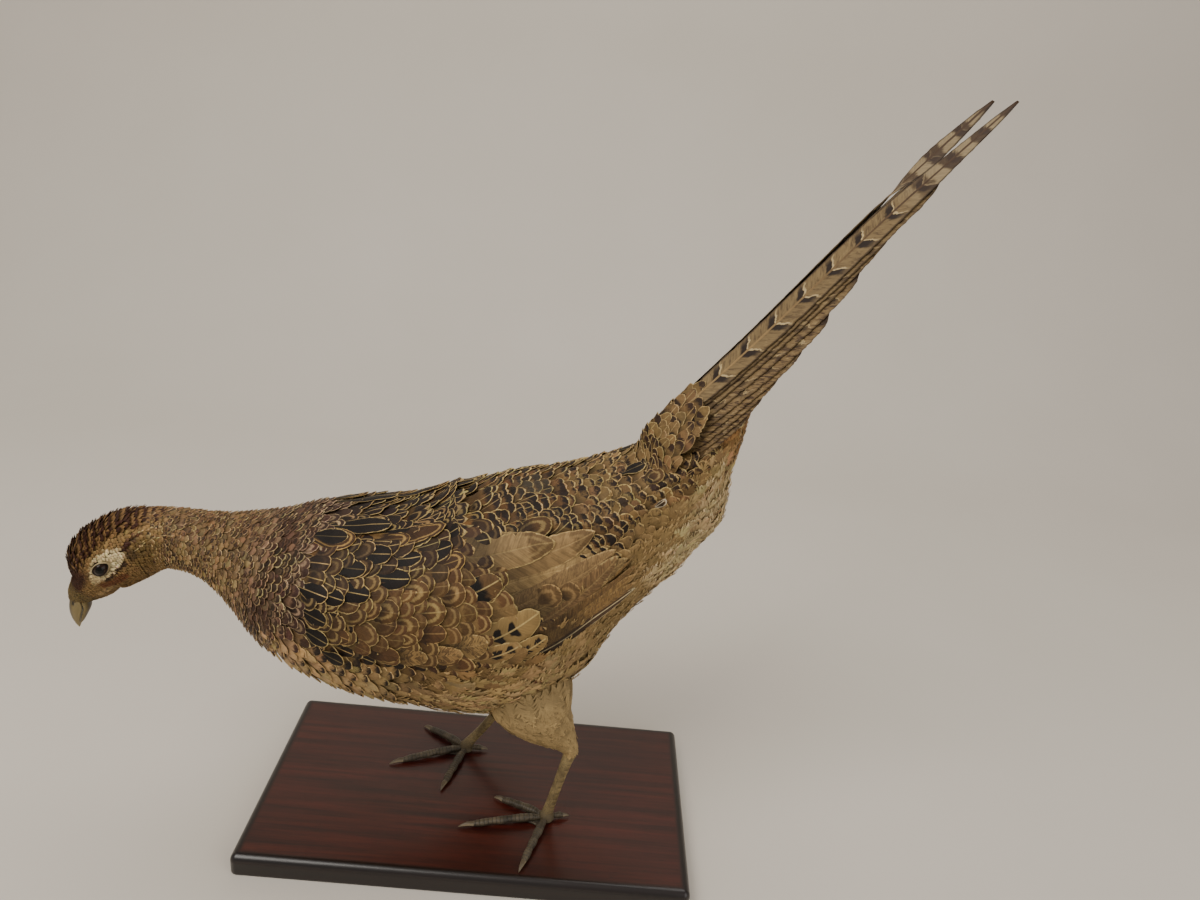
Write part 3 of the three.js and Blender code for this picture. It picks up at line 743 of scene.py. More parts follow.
PATCH = np.array([[2.24, -72], [2.42, -70], [2.61, -69], [2.88, -71], [2.97, -80], [2.93, -88], [2.80, -96], [2.55, -102], [2.12, -106],
                  [1.75, -106], [1.32, -103], [1.50, -95], [1.73, -88], [1.95, -82], [2.08, -78]])
_fe = spine(np.array(EYE_T))
_AT, _AS, _AU = _fe[6:9], _fe[9:12], _fe[12:15]
_EC = body_mm(np.array(EYE_T), np.array(-EYE_PHI), -EYE_SINK)


def side_plane(p):
    d = p - _EC
    return np.stack([d @ _AT, d @ _AU], -1)


PATCH_2D = side_plane(np.array([land(*q) for q in PATCH]))


def inside_mm(p2, poly):
    """distance inside (+) or outside (-) a closed outline, in mm"""
    best = np.full(len(p2), 1e9)
    odd = np.zeros(len(p2), bool)
    for i in range(len(poly)):
        a, b = poly[i], poly[(i + 1) % len(poly)]
        d = b - a
        f = np.clip(((p2 - a) @ d) / (d @ d), 0, 1)
        best = np.minimum(best, np.linalg.norm(p2 - a - f[:, None] * d, axis=1))
        cross = ((a[1] > p2[:, 1]) != (b[1] > p2[:, 1]))
        x = a[0] + (p2[:, 1] - a[1]) / (d[1] if abs(d[1]) > 1e-9 else 1e-9) * d[0]
        odd ^= cross & (p2[:, 0] < x)
    return np.where(odd, best, -best)


_ct = np.linspace(-0.3, 5.0, 400)
_cp = body_mm(_ct, np.zeros(400))
CROWN_S = np.concatenate([[0], np.cumsum(np.linalg.norm(np.diff(_cp, axis=0), axis=1))])


def crown_edge(t):
    """how far down the side of the head, in degrees, the barred crown reaches"""
    return np.interp(t, [0.5, 1.2, 1.7, 2.19, 2.57, 2.91, 3.29, 3.69, 4.1], [60, 64, 66, 61, 52, 49, 40, 26, 10])


def head_base(p, t, phi):
    """plain colour of the head at a place; p is local mm"""
    q = near_side(p)
    a = np.abs(phi) / DEG
    col = np.broadcast_to(lin(138, 108, 66), q.shape).copy()
    col = blend_to(col, lin(134, 104, 62), smooth(a, 95, 150))
    col = blend_to(col, lin(142, 112, 68), smooth(t, 1.9, 2.3) * smooth(-a, -92, -70))
    # olive-brown ear coverts, darker just behind the pale patch
    ear = dist(q, land(3.5, -90))
    col = blend_to(col, lin(112, 88, 48), smooth(-ear, -11, -7))
    col = blend_to(col, lin(76, 58, 34), smooth(-dist(q, land(3.09, -88)), -4.6, -1.6) * 0.8)
    # forehead and lores
    col = blend_to(col, lin(74, 44, 28), smooth(-t, -2.0, -1.5) * smooth(-a, -96, -80))
    col = blend_to(col, lin(118, 98, 58), smooth(-t, -0.75, -0.35))
    # throat and the reddish marks under the gape
    d, _ = seg_dist(q, land(1.54, -119), land(2.54, -119))
    col = blend_to(col, lin(112, 66, 38), smooth(-d, -3.2, -1.6) * 0.85)
    d, _ = seg_dist(q, land(1.0, -128), land(1.9, -134))
    col = blend_to(col, lin(178, 148, 100), smooth(-d, -2.6, -1.0) * 0.7)
    # the pale patch round and behind the eye, with its dark line below
    k = inside_mm(side_plane(q), PATCH_2D)
    col = blend_to(col, lin(212, 192, 146), smooth(k, -0.8, 0.9))
    col = blend_to(col, lin(188, 158, 108), smooth(k, -0.4, 0.4) * smooth(-t, -2.15, -1.5) * 0.6)
    d1, _ = seg_dist(q, land(2.86, -97), land(2.5, -105))
    d2, _ = seg_dist(q, land(2.5, -105), land(2.0, -108.5))
    col = blend_to(col, lin(58, 38, 24), smooth(-np.minimum(d1, d2), -1.25, -0.5) * 0.95)
    d1, _ = seg_dist(q, land(3.42, -55), land(3.12, -68))
    d2, _ = seg_dist(q, land(3.12, -68), land(3.02, -77))
    col = blend_to(col, lin(66, 34, 20), np.maximum(smooth(-d1, -1.6, -0.7) * 0.8, smooth(-d2, -1.9, -0.9)))
    return col


def neck_base(p, t, phi):
    a = np.abs(phi) / DEG
    col = np.broadcast_to(lin(138, 112, 74), p.shape).copy()
    col = blend_to(col, lin(122, 95, 62), smooth(-a, -80, -40))
    col = blend_to(col, lin(142, 114, 72), smooth(a, 110, 150))
    col = blend_to(col, MAUVE, smooth(t, 5.2, 6.2) * 0.8)
    col = blend_to(col, lin(84, 60, 44), smooth(t, 6.05, 6.25) * smooth(-t, -6.65, -6.4) * 0.75 * smooth(-a, -120, -95))
    return col


def body_base(p, t, phi):
    a = np.abs(phi) / DEG
    col = np.broadcast_to(lin(150, 120, 76), p.shape).copy()
    col = blend_to(col, MAUVE, smooth(-t, -7.4, -6.7))
    col = blend_to(col, BELLY, smooth(a, 96, 122))
    col = blend_to(col, lin(172, 140, 96), smooth(a, 92, 118) * smooth(-t, -8.4, -7.2) * 0.8)
    col = blend_to(col, lin(150, 126, 80), smooth(t, 11.6, 12.6) * smooth(-a, -120, -60) * 0.8)
    col = blend_to(col, lin(176, 152, 106), smooth(t, 11.0, 12.3) * smooth(a, 100, 125))
    col = blend_to(col, lin(150, 100, 52), smooth(t, 13.2, 13.8) * smooth(a, 60, 110) * 0.7)
    return col


def base_colour(p, t, phi):
    c = head_base(p, t, phi)
    c = blend_to(np.array(c), 0, np.zeros(len(c))) if False else c
    w1 = smooth(t, 3.1, 3.8)[..., None]
    w2 = smooth(t, 6.3, 6.8)[..., None]
    c = c * (1 - w1) + neck_base(p, t, phi) * w1
    return c * (1 - w2) + body_base(p, t, phi) * w2


def blank_style(n):
    z = np.zeros(n)
    return {"fringe": z + 0.7, "dark": z + 5.0, "ring": z.copy(), "bar": z.copy(), "shaft": z.copy(), "wild": z + 0.5, "spot": z + 99.0, "first": z + 0.3, "phase": z - 1.0,
            "c0": np.tile(FRINGE, (n, 1)), "c1": np.tile(BLACKISH, (n, 1)), "c2": np.tile(BROWN, (n, 1))}


def take(st, m):
    return {k: v[m] for k, v in st.items()}


def vary(col, amount):
    return np.clip(col * (1 + RNG.normal(0, amount, (len(col), 1))) * (1 + RNG.normal(0, amount * 0.3, (len(col), 3))), 0.002, 0.95)


def root_mm(t, phi):
    return body_mm(t, phi, 0.0)


# ---------------------------------------------------------------- head and neck
plumage_fine = plumage_material("plumage_fine", 0.38)
plumage_small = plumage_material("plumage_small", 0.6)
plumage_body = plumage_material("plumage_body", 1.0)
plumage_soft = plumage_material("plumage_soft", 0.8, 0.85, 0.55)

EYE_C = {s: body_mm(np.array(EYE_T), np.array(s * EYE_PHI), -EYE_SINK) for s in (-1, 1)}
_f = spine(np.array(EYE_T))
AX_T, AX_S, AX_U = _f[6:9], _f[9:12], _f[12:15]
LID_A, LID_B = 4.5, 3.5  # half-length and half-height of the lids' outer rim, mm


def eye_plane(p):
    """place beside the nearer eye: rearwards, upwards, and outwards from its centre"""
    q = near_side(p)
    d = q - EYE_C[-1]
    return d @ AX_T, d @ AX_U, d @ -AX_S


def face(t, phi, h):
    """the coat, drawn in over the root of the bill"""
    return coat(t, phi, h - 1.5 * np.clip(-t / 0.32, 0, 1.3) ** 1.3)


def seen_at(surf, t, phi, L, f=0.72):
    """where along t the showing part of a feather lies"""
    z = np.zeros(len(t))
    g = np.linalg.norm(surf(t + 0.02, phi, z) - surf(t - 0.02, phi, z), axis=1) / 0.04 * 1000
    return t + f * L / np.maximum(g, 4)


def head_feathers():
    t, phi, row, col = rows_on(face, -0.34, 3.7, lambda t: np.interp(t, [-0.3, 0.5, 1.2, 2.2, 3.7], [0.6, 0.7, 0.78, 1.0, 1.5]),
                               lambda t: np.interp(t, [-0.3, 0.5, 1.2, 2.2, 3.7], [0.85, 0.95, 1.05, 1.35, 2.0]))
    ragged = t > -0.24 + 0.16 * np.cos(phi * 2) + RNG.normal(0, 0.04, len(t))
    t, phi, row, col = t[ragged], phi[ragged], row[ragged], col[ragged]
    a = np.abs(phi) / DEG
    crown = smooth(crown_edge(t) - a, -1.5, 3.5) * smooth(t, 1.25, 1.7)
    lift = crown * smooth(-t, -3.7, -2.6)
    L = np.clip(row, 0.6, 2.0) * 3.0 * (1 + 0.3 * lift)
    W = col * 1.75
    tv = seen_at(face, t, phi, L)
    p = root_mm(tv, phi)
    x, y, o = eye_plane(root_mm(t, phi))
    r = np.sqrt((x / LID_A) ** 2 + (y / LID_B) ** 2)
    seen = o > 0
    ahead = (x < 0) & seen & (np.abs(y) < LID_B * 1.05)
    rim = LID_A * LID_B / np.sqrt((LID_B * x / np.maximum(np.hypot(x, y), 1e-6)) ** 2 + (LID_A * y / np.maximum(np.hypot(x, y), 1e-6)) ** 2)
    room = np.sqrt(x ** 2 + y ** 2) - rim
    L = np.where(ahead & (r < 2.2), np.minimum(L, np.maximum(room, 0) + 0.5), L)
    keep = ~(seen & (r < 1.0)) & (L > 0.7)
    st = blank_style(len(t))
    base = head_base(p, tv, phi)
    n = len(t)
    pick = RNG.random(n)
    st["c2"] = vary(base, 0.10)
    st["c0"] = vary(base * 1.12, 0.08)
    st["c1"] = vary(base * 0.62, 0.12)
    st["fringe"] = np.full(n, 0.16)
    st["dark"] = np.where(pick < 0.4, 0.9, 0.0) * 1.0
    st["wild"] = np.full(n, 0.7)
    pale = inside_mm(side_plane(near_side(p)), PATCH_2D) > 0
    st["dark"][pale & (pick > 0.10)] = 0.0
    st["c2"][pale] = vary(st["c2"][pale], 0.10)
    # the bill's base is mottled
    spot = (tv < 0.75) & (RNG.random(n) < 0.45)
    st["c2"][spot] = lin(70, 54, 34)
    # barred crown: rows of dark feathers between buff-brown ones, melting into the nape
    s = np.interp(tv, _ct, CROWN_S)
    bands = 0.5 + 0.5 * np.sin(2 * PI * s / 4.3 + 1.6 * np.sin(phi * 4) + RNG.normal(0, 0.35, n))
    fade = smooth(-tv, -3.6, -2.7)
    is_dark = bands > np.where(RNG.random(n) < fade, 0.5, 0.25 + 0.5 * RNG.random(n))
    c = crown > 0.4
    dk = lin(58, 32, 20) * (0.75 + 0.5 * RNG.random((n, 1)))
    lt = lin(136, 102, 62) * (0.75 + 0.45 * RNG.random((n, 1)))
    st["c1"][c] = np.where(is_dark[:, None], dk, lt * 0.6)[c]
    st["c2"][c] = np.where(is_dark[:, None], dk * 1.15, lt * 0.8)[c]
    st["c0"][c] = np.where(is_dark[:, None], dk * 1.9, lt)[c]
    st["dark"][c] = np.where(is_dark, 2.4, 0.5)[c]
    st["fringe"][c] = np.where(is_dark, 0.14, 0.40)[c]
    depth = coat_depth(np.maximum(t, 0), phi)
    low = -depth * 0.9
    high = np.full(n, -0.15) + lift * (0.25 + 0.75 * is_dark) + RNG.normal(0, 0.08, n)
    lie = RNG.normal(0, 0.12, n)
    # the feathers part round the eye
    away = np.exp(-np.maximum(room, 0) / 2.5) * seen * (r > 1.0)
    lie += -np.sign(phi) * np.sign(y) * away * 0.55 * smooth(-x, -2.0, 4.0)
    curl = np.where(lift > 0.3, 0.14, 0.0)
    m = keep
    vanes("plume_head", face, flat_map, t[m], phi[m], lie[m], L[m], W[m], low[m], high[m], take(st, m), nr=4, cols=(1, 0.5),
          kind="round", camber=0.10, frill=0.3, split=0.2, curl=curl[m], material=plumage_fine)
    # thin pale streaks running back over the ear coverts
    paths = (((3.30, -60), (3.48, -52), (3.75, -45), (3.95, -42)), ((3.20, -84), (3.38, -78), (3.58, -70), (3.84, -63), (4.15, -60)))
    A, B = [], []
    for side in (-1, 1):
        for path in paths:
            path = np.array(path, float)
            for q in np.linspace(0, 1, 15)[:-1]:
                for row_ in range(2):
                    a0 = np.array([np.interp(q, np.linspace(0, 1, len(path)), path[:, i]) for i in (0, 1)])
                    a1 = np.array([np.interp(min(1, q + 0.16), np.linspace(0, 1, len(path)), path[:, i]) for i in (0, 1)])
                    j = RNG.normal(0, 1, 2) * (0.02, 1.4)
                    A.append([a0[0] + j[0], side * abs(a0[1] + j[1])])
                    B.append([a1[0] + j[0], side * abs(a1[1] + j[1])])
    A, B = np.array(A), np.array(B)
    keep = RNG.random(len(A)) < 0.62
    A, B = A[keep], B[keep]
    n = len(A)
    st = blank_style(n)
    st["c0"] = st["c2"] = vary(np.tile(lin(190, 162, 112), (n, 1)), 0.22)
    st["c1"] = st["c2"] * 0.75
    st["dark"] = np.zeros(n)
    vanes("plume_head_streaks", coat, flat_map, A[:, 0], A[:, 1] * DEG, np.zeros(n), np.ones(n), np.full(n, 1.0), np.full(n, -0.9), np.full(n, 0.12), st,
          nr=5, cols=(1, 0.5), kind="lance", camber=0.08, frill=0.3, split=0.2, material=plumage_fine, t1=B[:, 0], p1=B[:, 1] * DEG)


def neck_feathers():
    t, phi, row, col = rows_on(coat, 3.45, 6.75, lambda t: np.interp(t, [3.4, 5, 6.7], [1.5, 2.3, 3.3]),
                               lambda t: np.interp(t, [3.4, 5, 6.7], [2.2, 3.2, 4.3]))
    n = len(t)
    p = root_mm(t, phi)
    a = np.abs(phi) / DEG
    st = blank_style(n)
    base = neck_base(p, t, phi)
    pick = RNG.random(n)
    patch = 0.5 + 0.5 * np.sin(t * 9.1 + 3 * np.sin(phi * 2.7 + t * 2)) * np.cos(phi * 7.3 + t * 3)
    collar = smooth(t, 5.6, 6.3)
    pick2 = RNG.random(n)
    st["c0"] = vary(blend_to(base * 1.2, lin(190, 164, 116), 0.7 * (pick2 < 0.35)), 0.14)
    st["c1"] = vary(blend_to(np.tile(lin(58, 39, 26), (n, 1)), BLACKISH, 0.5 * collar * smooth(-a, -120, -60)), 0.25)
    st["c2"] = vary(base, 0.18)
    st["fringe"] = 0.36 + 0.25 * collar + 0.15 * RNG.random(n)
    st["dark"] = np.where(pick + 0.5 * (patch - 0.5) < 0.58 + 0.25 * collar + 0.08 * smooth(-a, -70, -30), 1.9 + 1.6 * collar, 0.0)
    st["dark"] *= 1 - 0.6 * smooth(a, 120, 160)
    st["ring"] = collar * 0.6 * (RNG.random(n) < 0.5)
    st["wild"] = np.full(n, 0.9) - 0.3 * collar
    L = np.clip(row, 1.2, 4.2) * 3.0
    W = col * 1.75
    depth = coat_depth(t, phi)
    vanes("plume_neck", coat, flat_map, t, phi, RNG.normal(0, 0.13, n), L, W, -depth * 0.85, np.full(n, -0.25) + RNG.normal(0, 0.12, n),
          st, nr=6, cols=(1, 0.62, 0.3), camber=0.09, frill=0.3, split=0.18, material=plumage_small)


# ---------------------------------------------------------------- back, breast, flanks
def pitch_row(t):
    return np.interp(t, [6.5, 7.4, 9.5, 11.5, 12.6, 14.5], [3.4, 6.0, 6.6, 5.8, 5.2, 4.4])


def pitch_col(t):
    return np.interp(t, [6.5, 7.4, 9.5, 11.5, 12.6, 14.5], [4.4, 7.0, 7.8, 6.8, 6.0, 5.2])


def body_feathers():
    t, phi, row, col = rows_on(coat, 6.55, 14.3, lambda t: pitch_row(t) * 0.8, pitch_col)
    a = np.abs(phi) / DEG
    u, v, _ = wing_uv(t, phi)
    over = (u > 0.10) & (u < 0.80) & (v > 0.20) & (v < 0.84)
    m = ~over
    t, phi, a = t[m], phi[m], a[m]
    m = spaced(coat, t, phi, pitch_row(t) * 0.74, pitch_col(t) * 0.46)
    t, phi, a = t[m], phi[m], a[m]
    row, col = pitch_row(t), pitch_col(t)
    n = len(t)
    p = root_mm(t, phi)
    base = body_base(p, t, phi)
    st = blank_style(n)
    pick, pick2, pick3 = RNG.random(n), RNG.random(n), RNG.random(n)
    upper = smooth(-a, -108, -88)          # back and sides
    low_side = smooth(a, 88, 114)
    early = smooth(-t, -7.3, -6.9)         # rows next to the collar
    mantle = upper * smooth(t, 6.7, 7.1) * smooth(-t, -10.4, -9.2)
    back = upper * smooth(t, 9.4, 10.4)
    rump = upper * smooth(t, 11.0, 11.9)
    breast = low_side * smooth(-t, -9.2, -8.0)
    belly = low_side * smooth(t, 8.3, 9.2)
    side_dark = smooth(a, 76, 90) * smooth(-a, -116, -100) * smooth(-t, -8.4, -7.6) * smooth(t, 6.8, 7.1)
    c0 = np.tile(FRINGE, (n, 1))
    c0 = blend_to(c0, lin(184, 158, 122), early)
    c0 = blend_to(c0, lin(178, 150, 98), np.maximum(rump, back * 0.5) * 0.8)
    c0 = blend_to(c0, base * 1.12, belly)
    c0 = blend_to(c0, lin(184, 152, 104), breast * 0.9)
    st["c0"] = vary(c0, 0.12)
    c1 = np.tile(lin(34, 23, 17), (n, 1))
    c1 = blend_to(c1, lin(70, 46, 36), early * 0.8)
    c1 = blend_to(c1, lin(46, 31, 20), rump * 0.6)
    c1 = blend_to(c1, lin(98, 66, 38), belly * 0.8)
    st["c1"] = vary(c1, 0.20)
    c2 = np.tile(lin(98, 70, 40), (n, 1))
    c2 = blend_to(c2, GOLDEN, (pick2 < 0.32) * mantle * 0.7)
    c2 = blend_to(c2, lin(128, 102, 82), early * 0.8)
    c2 = blend_to(c2, base, np.maximum(belly, breast))
    c2 = blend_to(c2, lin(124, 98, 60), rump * 0.8)
    st["c2"] = vary(c2, 0.15)
    st["fringe"] = (0.50 + 0.15 * RNG.random(n)) * (1 - 0.2 * early) + 0.05 * rump
    st["dark"] = 9.5 * mantle * (0.75 + 0.45 * pick3) + (2.5 + 4.5 * pick3) * back * (1 - rump) + (2.4 + 3.2 * pick3) * rump * (pick < 0.78) + 3.4 * early * upper
    st["dark"] += breast * np.where(pick < np.interp(a, [90, 112, 140, 180], [0.95, 0.62, 0.34, 0.18]), np.interp(a, [90, 115, 150], [6.0, 3.2, 2.0]), 0.0)
    st["dark"] += belly * np.where(pick < np.interp(a, [95, 112, 130, 180], [0.38, 0.24, 0.14, 0.04]), 2.6, 0.0)
    st["dark"] = np.maximum(st["dark"], side_dark * 6.0)
    flank = smooth(t, 9.8, 10.6) * smooth(-t, -12.6, -11.9) * smooth(a, 80, 97)
    st["dark"] *= 1 - flank * (0.55 + 0.45 * (pick < 0.6))
    st["c0"] = blend_to(st["c0"], base * 1.1, flank * 0.7)
    st["c2"] = blend_to(st["c2"], lin(140, 114, 72), flank * 0.8)
    smudge = smooth(-dist(p * np.array([1, 1, 1.0]), land(10.91, -11)), -13, -5) * (phi < 0.5)
    for key in ("c0", "c1", "c2"):
        st[key] = blend_to(st[key], lin(84, 76, 58), smudge * 0.4)
    st["ring"] = (pick2 < 0.34) * mantle * 0.9 * (1 - side_dark) + early * upper * 0.7 * (pick2 < 0.5) + (pick2 < 0.2) * back * 0.6
    st["shaft"] = (pick2 > 0.80) * mantle * 0.8 + (pick2 > 0.86) * back * 0.6 + side_dark * (pick2 > 0.6) * 0.8
    st["wild"] = 0.40 + 0.45 * back + 0.50 * rump + 0.5 * belly + 0.35 * breast
    L = row * 3.0
    W = col * 1.62
    depth = coat_depth(t, phi)
    low = -depth * 0.92
    high = np.full(n, -0.45) + RNG.normal(0, 0.10, n)
    lie = RNG.normal(0, 0.09, n) * (1 + 0.8 * rump)
    lie += np.sign(phi) * 0.10 * smooth(-a, -70, -30) * smooth(t, 7.2, 8.5) * smooth(-t, -11, -9.5)
    roll = -np.sign(phi) * 0.05
    soft = belly + RNG.normal(0, 0.12, n) > 0.55
    firm = ~soft
    mm = firm & (a < 100)
    vanes("plume_back", coat, flat_map, t[mm], phi[mm], lie[mm], L[mm], W[mm], low[mm], high[mm], take(st, mm), nr=9,
          cols=(1, 0.7, 0.36), kind="round", frill=0.16, split=0.14, camber=0.075, tilt=roll[mm], material=plumage_body)
    mm = firm & (a >= 100)
    vanes("plume_breast", coat, flat_map, t[mm], phi[mm], lie[mm], L[mm], W[mm], low[mm], high[mm], take(st, mm), nr=8,
          cols=(1, 0.66, 0.33), kind="round", frill=0.3, split=0.25, camber=0.075, material=plumage_body)
    # the soft parts: a closed under-layer, and loose locks over it
    mm = soft
    vanes("plume_belly", coat, flat_map, t[mm], phi[mm], lie[mm], L[mm], W[mm] * 1.05, low[mm], high[mm] - 0.5, take(st, mm), nr=8,
          cols=(1, 0.66, 0.33), kind="round", frill=0.5, split=0.4, camber=0.05, material=plumage_soft)
    for k in range(2):
        nn = mm.sum()
        vanes(f"plume_belly_loose_{'ab'[k]}", coat, flat_map, t[mm] + RNG.normal(0, 0.05, nn), phi[mm] + RNG.normal(0, 0.05, nn),
              lie[mm] + RNG.normal(0, 0.13, nn), L[mm] * RNG.uniform(1.05, 1.4, nn), W[mm] * RNG.uniform(0.95, 1.25, nn), low[mm] * 0.6,
              high[mm] + 0.1 + 0.25 * k + RNG.normal(0, 0.14, nn), take(st, mm), kind="lance", camber=0.04, curl=0.01, loose=(14, 0.036, 0.30), ruffle=0.14, material=plumage_soft)


# ---------------------------------------------------------------- folded wings
def wing_map(side):
    def f(u, v):
        row = curve(WING, np.clip(u, 0, 1) * 7)
        return flat_map(WING_START + WING_LENGTH * u - 0.35 * v * u, side * DEG * (row[..., 0] + (row[..., 1] - row[..., 0]) * v))
    return f


def wing_feathers(side):
    tag = "left" if side < 0 else "right"
    surf = wing_surf(side)
    lat = wing_map(side)
    # lesser and median coverts
    t, v, row, col = rows_on(surf, 0.02, 0.60, lambda u: np.interp(u, [0, 0.2, 0.6], [5.0, 6.6, 7.8]),
                             lambda u: np.interp(u, [0, 0.2, 0.6], [7.0, 8.4, 9.6]), 0.03, 0.99, p_ref=0.5)
    n = len(t)
    row = np.interp(t, [0, 0.2, 0.6], [5.0, 6.6, 7.8])
    st = blank_style(n)
    pick, pick2 = RNG.random(n), RNG.random(n)
    scap = smooth(-v, -0.52, -0.30)
    mid = smooth(v, 0.34, 0.56)
    front = smooth(-t, -0.20, -0.08)
    tail = smooth(t, 0.36, 0.54) * mid
    brown = lin(90, 64, 37) * (0.8 + 0.4 * RNG.random((n, 1)))
    st["c1"] = brown * 1.0
    st["c1"] = blend_to(st["c1"], BLACKISH, np.maximum(scap, front * 0.85) * (0.7 + 0.3 * pick))
    st["c1"] = vary(st["c1"], 0.12)
    st["c0"] = vary(blend_to(np.tile(lin(170, 144, 92), (n, 1)), FRINGE, np.maximum(scap, front)), 0.10)
    st["c2"] = vary(blend_to(np.tile(lin(118, 90, 52), (n, 1)), lin(150, 106, 54), scap * (pick2 < 0.4) * 0.8), 0.14)
    st["c2"] = blend_to(st["c2"], lin(146, 118, 74), tail * 0.6)
    st["fringe"] = 0.58 + 0.15 * RNG.random(n)
    st["dark"] = (9.0 + 3.0 * scap) * (0.8 + 0.3 * pick)
    st["dark"] = np.where(RNG.random(n) < tail * 0.3, np.where(pick < 0.4, 2.0, 0.0), st["dark"])
    st["ring"] = np.where(pick2 < 0.75, 0.9, 0.2) * (1 - scap * 0.75)
    st["shaft"] = (pick2 > 0.70) * (0.8 * scap + 0.5 * front + 0.3 * mid)
    st["wild"] = 0.38 + 0.25 * RNG.random(n)
    L = row * 2.8
    W = col * 1.62
    vanes(f"plume_coverts_{tag}", surf, lat, t, v, RNG.normal(0, 0.06, n), L, W, np.full(n, -2.4), np.full(n, 0.45) + RNG.normal(0, 0.10, n),
          st, nr=12, cols=(1, 0.8, 0.5, 0.22), kind="round", camber=0.07, frill=0.12, split=0.10, tilt=0.03 * np.ones(n), material=plumage_body)
    # greater coverts, tertials and secondaries: long vanes in layers, the upper over the lower
    m = 13
    k = np.arange(m)[::-1] / (m - 1)             # 0 = innermost, on top
    u0 = 0.36 + 0.14 * k + RNG.normal(0, 0.008, m)
    v0 = 0.22 + 0.74 * k ** 0.9
    tip_u = np.interp(k, [0, 0.3, 0.6, 1], [0.80, 0.92, 0.97, 0.95]) + RNG.normal(0, 0.01, m)
    L = np.ones(m)
    W = np.interp(k, [0, 0.4, 1], [19, 18, 13.0])
    st = blank_style(m)
    st["c0"] = vary(np.tile(lin(176, 148, 96), (m, 1)), 0.07)
    st["c1"] = vary(np.tile(lin(66, 45, 29), (m, 1)), 0.1)
    st["c2"] = vary(blend_to(np.tile(lin(150, 122, 78), (m, 1)), lin(120, 94, 60), k * 0.7), 0.08)
    st["fringe"] = np.full(m, 0.6)
    st["dark"] = np.interp(k, [0, 0.25, 0.36, 0.44], [16, 12, 7, 0])
    st["c1"] = blend_to(st["c1"], lin(100, 77, 47), (k < 0.45) * 1.0)
    st["ring"] = (k < 0.45) * 0.5
    st["bar"] = np.interp(k, [0, 0.5, 1], [0.30, 0.40, 0.45])
    st["shaft"] = np.full(m, 0.35)
    st["wild"] = np.where(k < 0.45, 0.8, 1.7)
    vanes(f"plume_secondaries_{tag}", surf, lat, u0, v0, np.full(m, -0.02), L, W, np.full(m, -2.2) + (1 - k) * 1.0, np.full(m, -0.6) + (1 - k) * 1.4,
          st, nr=48, cols=(1, 0.86, 0.66, 0.42, 0.2), kind="quill", camber=0.05, frill=0.07, split=0.05, twist=0.02, material=quill_plumage, barb=0.1,
          t1=tip_u, p1=v0 + 0.03 * k)
    # primaries showing below and behind, the outermost with its pale shaft and edge
    m = 5
    k = np.arange(m) / (m - 1)
    st = blank_style(m)
    st["c0"] = vary(np.tile(lin(226, 206, 160), (m, 1)), 0.04)
    st["c1"] = vary(np.tile(lin(78, 56, 38), (m, 1)), 0.1)
    st["c2"] = vary(blend_to(np.tile(lin(140, 108, 64), (m, 1)), lin(84, 62, 42), (k > 0.9) * 1.0), 0.06)
    st["c0"][k < 0.9] = lin(158, 128, 82)
    st["fringe"] = np.where(k > 0.9, 0.3, 0.6)
    st["dark"] = np.zeros(m)
    st["bar"] = np.where(k > 0.9, 0.2, 0.5)
    st["shaft"] = np.where(k > 0.9, 1.0, 0.3)
    st["wild"] = np.where(k > 0.9, 0.3, 1.6)
    vanes(f"plume_primaries_{tag}", coat, flat_map, 9.75 + 0.15 * k, side * DEG * (90 + 8 * k), np.zeros(m), np.ones(m), np.interp(k, [0, 0.8, 1], [11, 10, 8.0]),
          -2.2 - 0.2 * k, 1.2 + 0.7 * k, st, nr=46, cols=(1, 0.8, 0.5, 0.22), kind="quill", camber=0.05, frill=0.04, split=0.02, twist=0.02,
          material=quill_plumage, barb=0.1, t1=11.72 - 0.28 * k, p1=side * DEG * (101 + 18 * k), tilt=-side * 0.06, bow=0.0)


